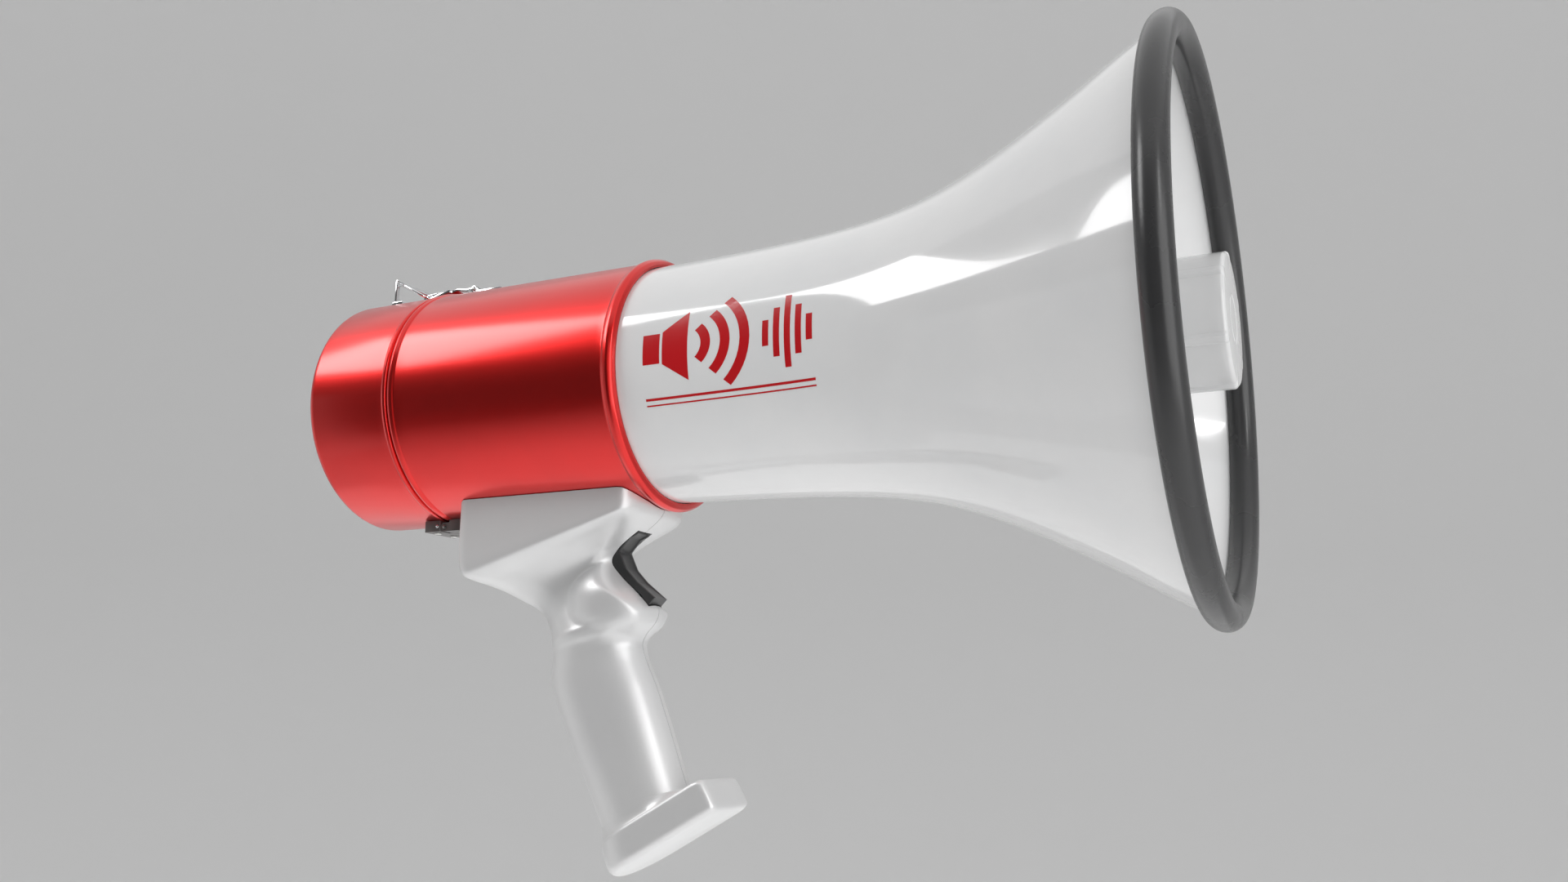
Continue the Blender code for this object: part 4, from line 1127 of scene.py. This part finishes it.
def build_insides():
    """Contacts, wraps and board parts that show when the rear cover is open."""
    face = place_of("battery_tray_rear")[0].x
    contact = rounded([(face + 0.1, 5.0), (face - 0.5, 5.0, 0.2), (face - 0.5, 0.0)], 3,
                      closed=False)
    coils = [lathe(contact, 40, at=at) for at in spots(4, 19.0, 45)]
    piece("battery_contacts", merged(*coils), "brass")
    top = place_of("amplifier_board")[1].x
    chips = [slab((top, y - long / 2, z - wide / 2), (top + tall, y + long / 2, z + wide / 2), 0.3)
             for y, z, long, wide, tall in ((-4, 30, 9, 5, 2.2), (12, 24, 6, 6, 1.6),
                                            (-18, -2, 12, 6, 3), (-2, -34, 8, 4, 1.8),
                                            (22, 22, 5, 3, 1.4), (30, 10, 4, 3, 1.4))]
    piece("board_chips", merged(*chips), "moulded_black", "cover", edge=0.15)
    blob = [(top + 0.02, 0.0), (top + 0.02, 1.5), (top + 0.25, 1.3), (top + 0.5, 0.5),
            (top + 0.55, 0.0)]
    piece("solder_pads", merged(*[lathe(blob, 20, at=at) for at in spots(16, 41.0)]),
          "bright_steel", "cover")
    wires = []
    for number in range(5):
        path = [(top + 1.2, -30 + number * 1.4, -30), (top + 5, -32 + number * 1.4, -20),
                (top + 3, -36 + number * 0.8, 0), (top + 1.2, -30 + number * 1.2, 27)]
        wires.append(tube(smooth_path(path, 8), 0.55, 10))
    piece("board_wires", merged(*wires), "red_gloss", "cover")


FRAME_FINISHES = {
    "bright_steel": ["driver_yoke", "driver_top_plate", "heat_sink", "volume_pot", "trigger_pin",
                     "trigger_spring", *("saddle_screw_%d" % (i + 1) for i in range(4))],
    "moulded_black": ["battery_spine", "battery_tray_front", "battery_tray_rear", "capacitor_1",
                      "capacitor_2", "mic_capsule", "switch_body", "trigger_switch"],
    "ferrite": ["driver_magnet"], "copper": ["voice_coil"], "diaphragm": ["diaphragm"],
    "solder_mask": ["amplifier_board"], "hinge_steel": ["output_transformer"],
    "cell_foil": ["battery_cell_%d" % (i + 1) for i in range(8)],
}


def finish_frame():
    """Gives each CAD node that stays in view a finish of its own."""
    for finish, nodes in FRAME_FINISHES.items():
        for node in nodes:
            paint(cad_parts[node], finish, 30)


# ---------------------------------------------------------------- stage


STAGE_PALE = 0.78
STAGE_DARK = 0.16
SUBJECT = Vector((-0.16, 0.0, -0.04))


def build_stage():
    """A bowl: a floor that curves up into a wall, pale but for the side at the camera's back."""
    floor, reach, bend, height = -1.15, 3.2, 1.6, 4.2
    profile = [(0.0, floor), (1.2, floor), (2.4, floor)]
    for step in range(13):
        angle = math.pi / 2 * step / 12
        profile.append((reach + bend * math.sin(angle), floor + bend * (1 - math.cos(angle))))
    profile.append((reach + bend, height))
    shape = bmesh.new()
    rings = []
    for radius, z in profile:
        turns = [TAU * i / 96 for i in range(96)] if radius else [0.0]
        rings.append([shape.verts.new((radius * math.cos(turn), radius * math.sin(turn), z))
                      for turn in turns])
    skin(shape, rings)
    bowl = object_of("stage_bowl", shape)
    bowl.data.flip_normals()
    bowl.data.shade_smooth()
    material, tree, shader = new_paint("stage_paint")
    shader.inputs["Roughness"].default_value = 0.9
    shader.inputs["Specular IOR Level"].default_value = 0.1
    where = add(tree, "ShaderNodeNewGeometry")
    split = add(tree, "ShaderNodeSeparateXYZ")
    tree.links.new(where.outputs["Position"], split.inputs["Vector"])
    share = add(tree, "ShaderNodeMapRange", **{"From Min": -0.6, "From Max": -2.6,
                                               "To Min": 0.0, "To Max": 1.0})
    tree.links.new(split.outputs["Y"], share.inputs["Value"])
    blend = add(tree, "ShaderNodeMix", data_type="RGBA")
    blend.inputs[6].default_value = (*grey(STAGE_PALE), 1)
    blend.inputs[7].default_value = (*grey(STAGE_DARK), 1)
    tree.links.new(share.outputs["Result"], blend.inputs[0])
    tree.links.new(blend.outputs[2], shader.inputs["Base Color"])
    bowl.data.materials.append(material)


def area_light(name, direction, distance, size, power, down=False):
    """A soft box that stands in a direction from the megaphone and faces it, or the floor."""
    data = bpy.data.lights.new(name, "AREA")
    data.shape = "RECTANGLE"
    data.size, data.size_y = size
    data.energy = power
    lamp = bpy.data.objects.new(name, data)
    bpy.context.scene.collection.objects.link(lamp)
    away = Vector(direction).normalized()
    lamp.location = SUBJECT + away * distance
    lamp.rotation_mode = "QUATERNION"
    if not down:
        lamp.rotation_quaternion = away.to_track_quat("Z", "Y")
    lamp.visible_camera = False


def build_lights():
    world = bpy.data.worlds.new("studio")
    world.use_nodes = True
    back = world.node_tree.nodes["Background"]
    back.inputs["Color"].default_value = (1, 1, 1, 1)
    back.inputs["Strength"].default_value = 0.85
    bpy.context.scene.world = world
    area_light("key_left", (-0.6805, -0.4375, 0.588), 2.2, (0.8, 0.84), 15)
    area_light("key_right", (0.718, -0.484, 0.5), 2.2, (0.26, 0.3), 3.5)
    area_light("fill_right", (0.9, -0.55, 0.0), 2.4, (2.2, 2.4), 38)
    area_light("fill_left", (-1.0, -0.35, -0.15), 2.2, (1.6, 1.6), 2.5)
    area_light("under", (-0.35, 0.55, -1.0), 1.25, (2.4, 1.8), 5)
    area_light("floor_glow", (0.2, -0.1, -0.3), 0.45, (2.2, 1.8), 9, down=True)


def build_camera():
    data = bpy.data.cameras.new("camera")
    data.sensor_width = 36.0
    data.lens = 30.83
    data.clip_start, data.clip_end = 0.01, 50.0
    camera = bpy.data.objects.new("camera", data)
    bpy.context.scene.collection.objects.link(camera)
    forward = Vector((-0.4110, 0.8878, 0.2073)).normalized()
    right = Vector((0.9075, 0.4201, 0.0))
    right = (right - forward * right.dot(forward)).normalized()
    up = right.cross(forward)
    pose = Matrix((right, up, -forward)).transposed().to_4x4()
    pose.translation = (0.0476, -0.48565, -0.14214)
    camera.matrix_world = pose
    bpy.context.scene.camera = camera


def main():
    build_bell()
    build_rim()
    build_sound_path()
    build_boss()
    build_drum()
    build_cover()
    build_cover_face()
    build_controls()
    build_hinge()
    build_latch()
    build_handle()
    build_foot()
    build_trigger()
    build_mark()
    build_insides()
    finish_frame()
    build_stage()
    build_lights()
    build_camera()
    bpy.context.scene.view_settings.view_transform = "Standard"


main()
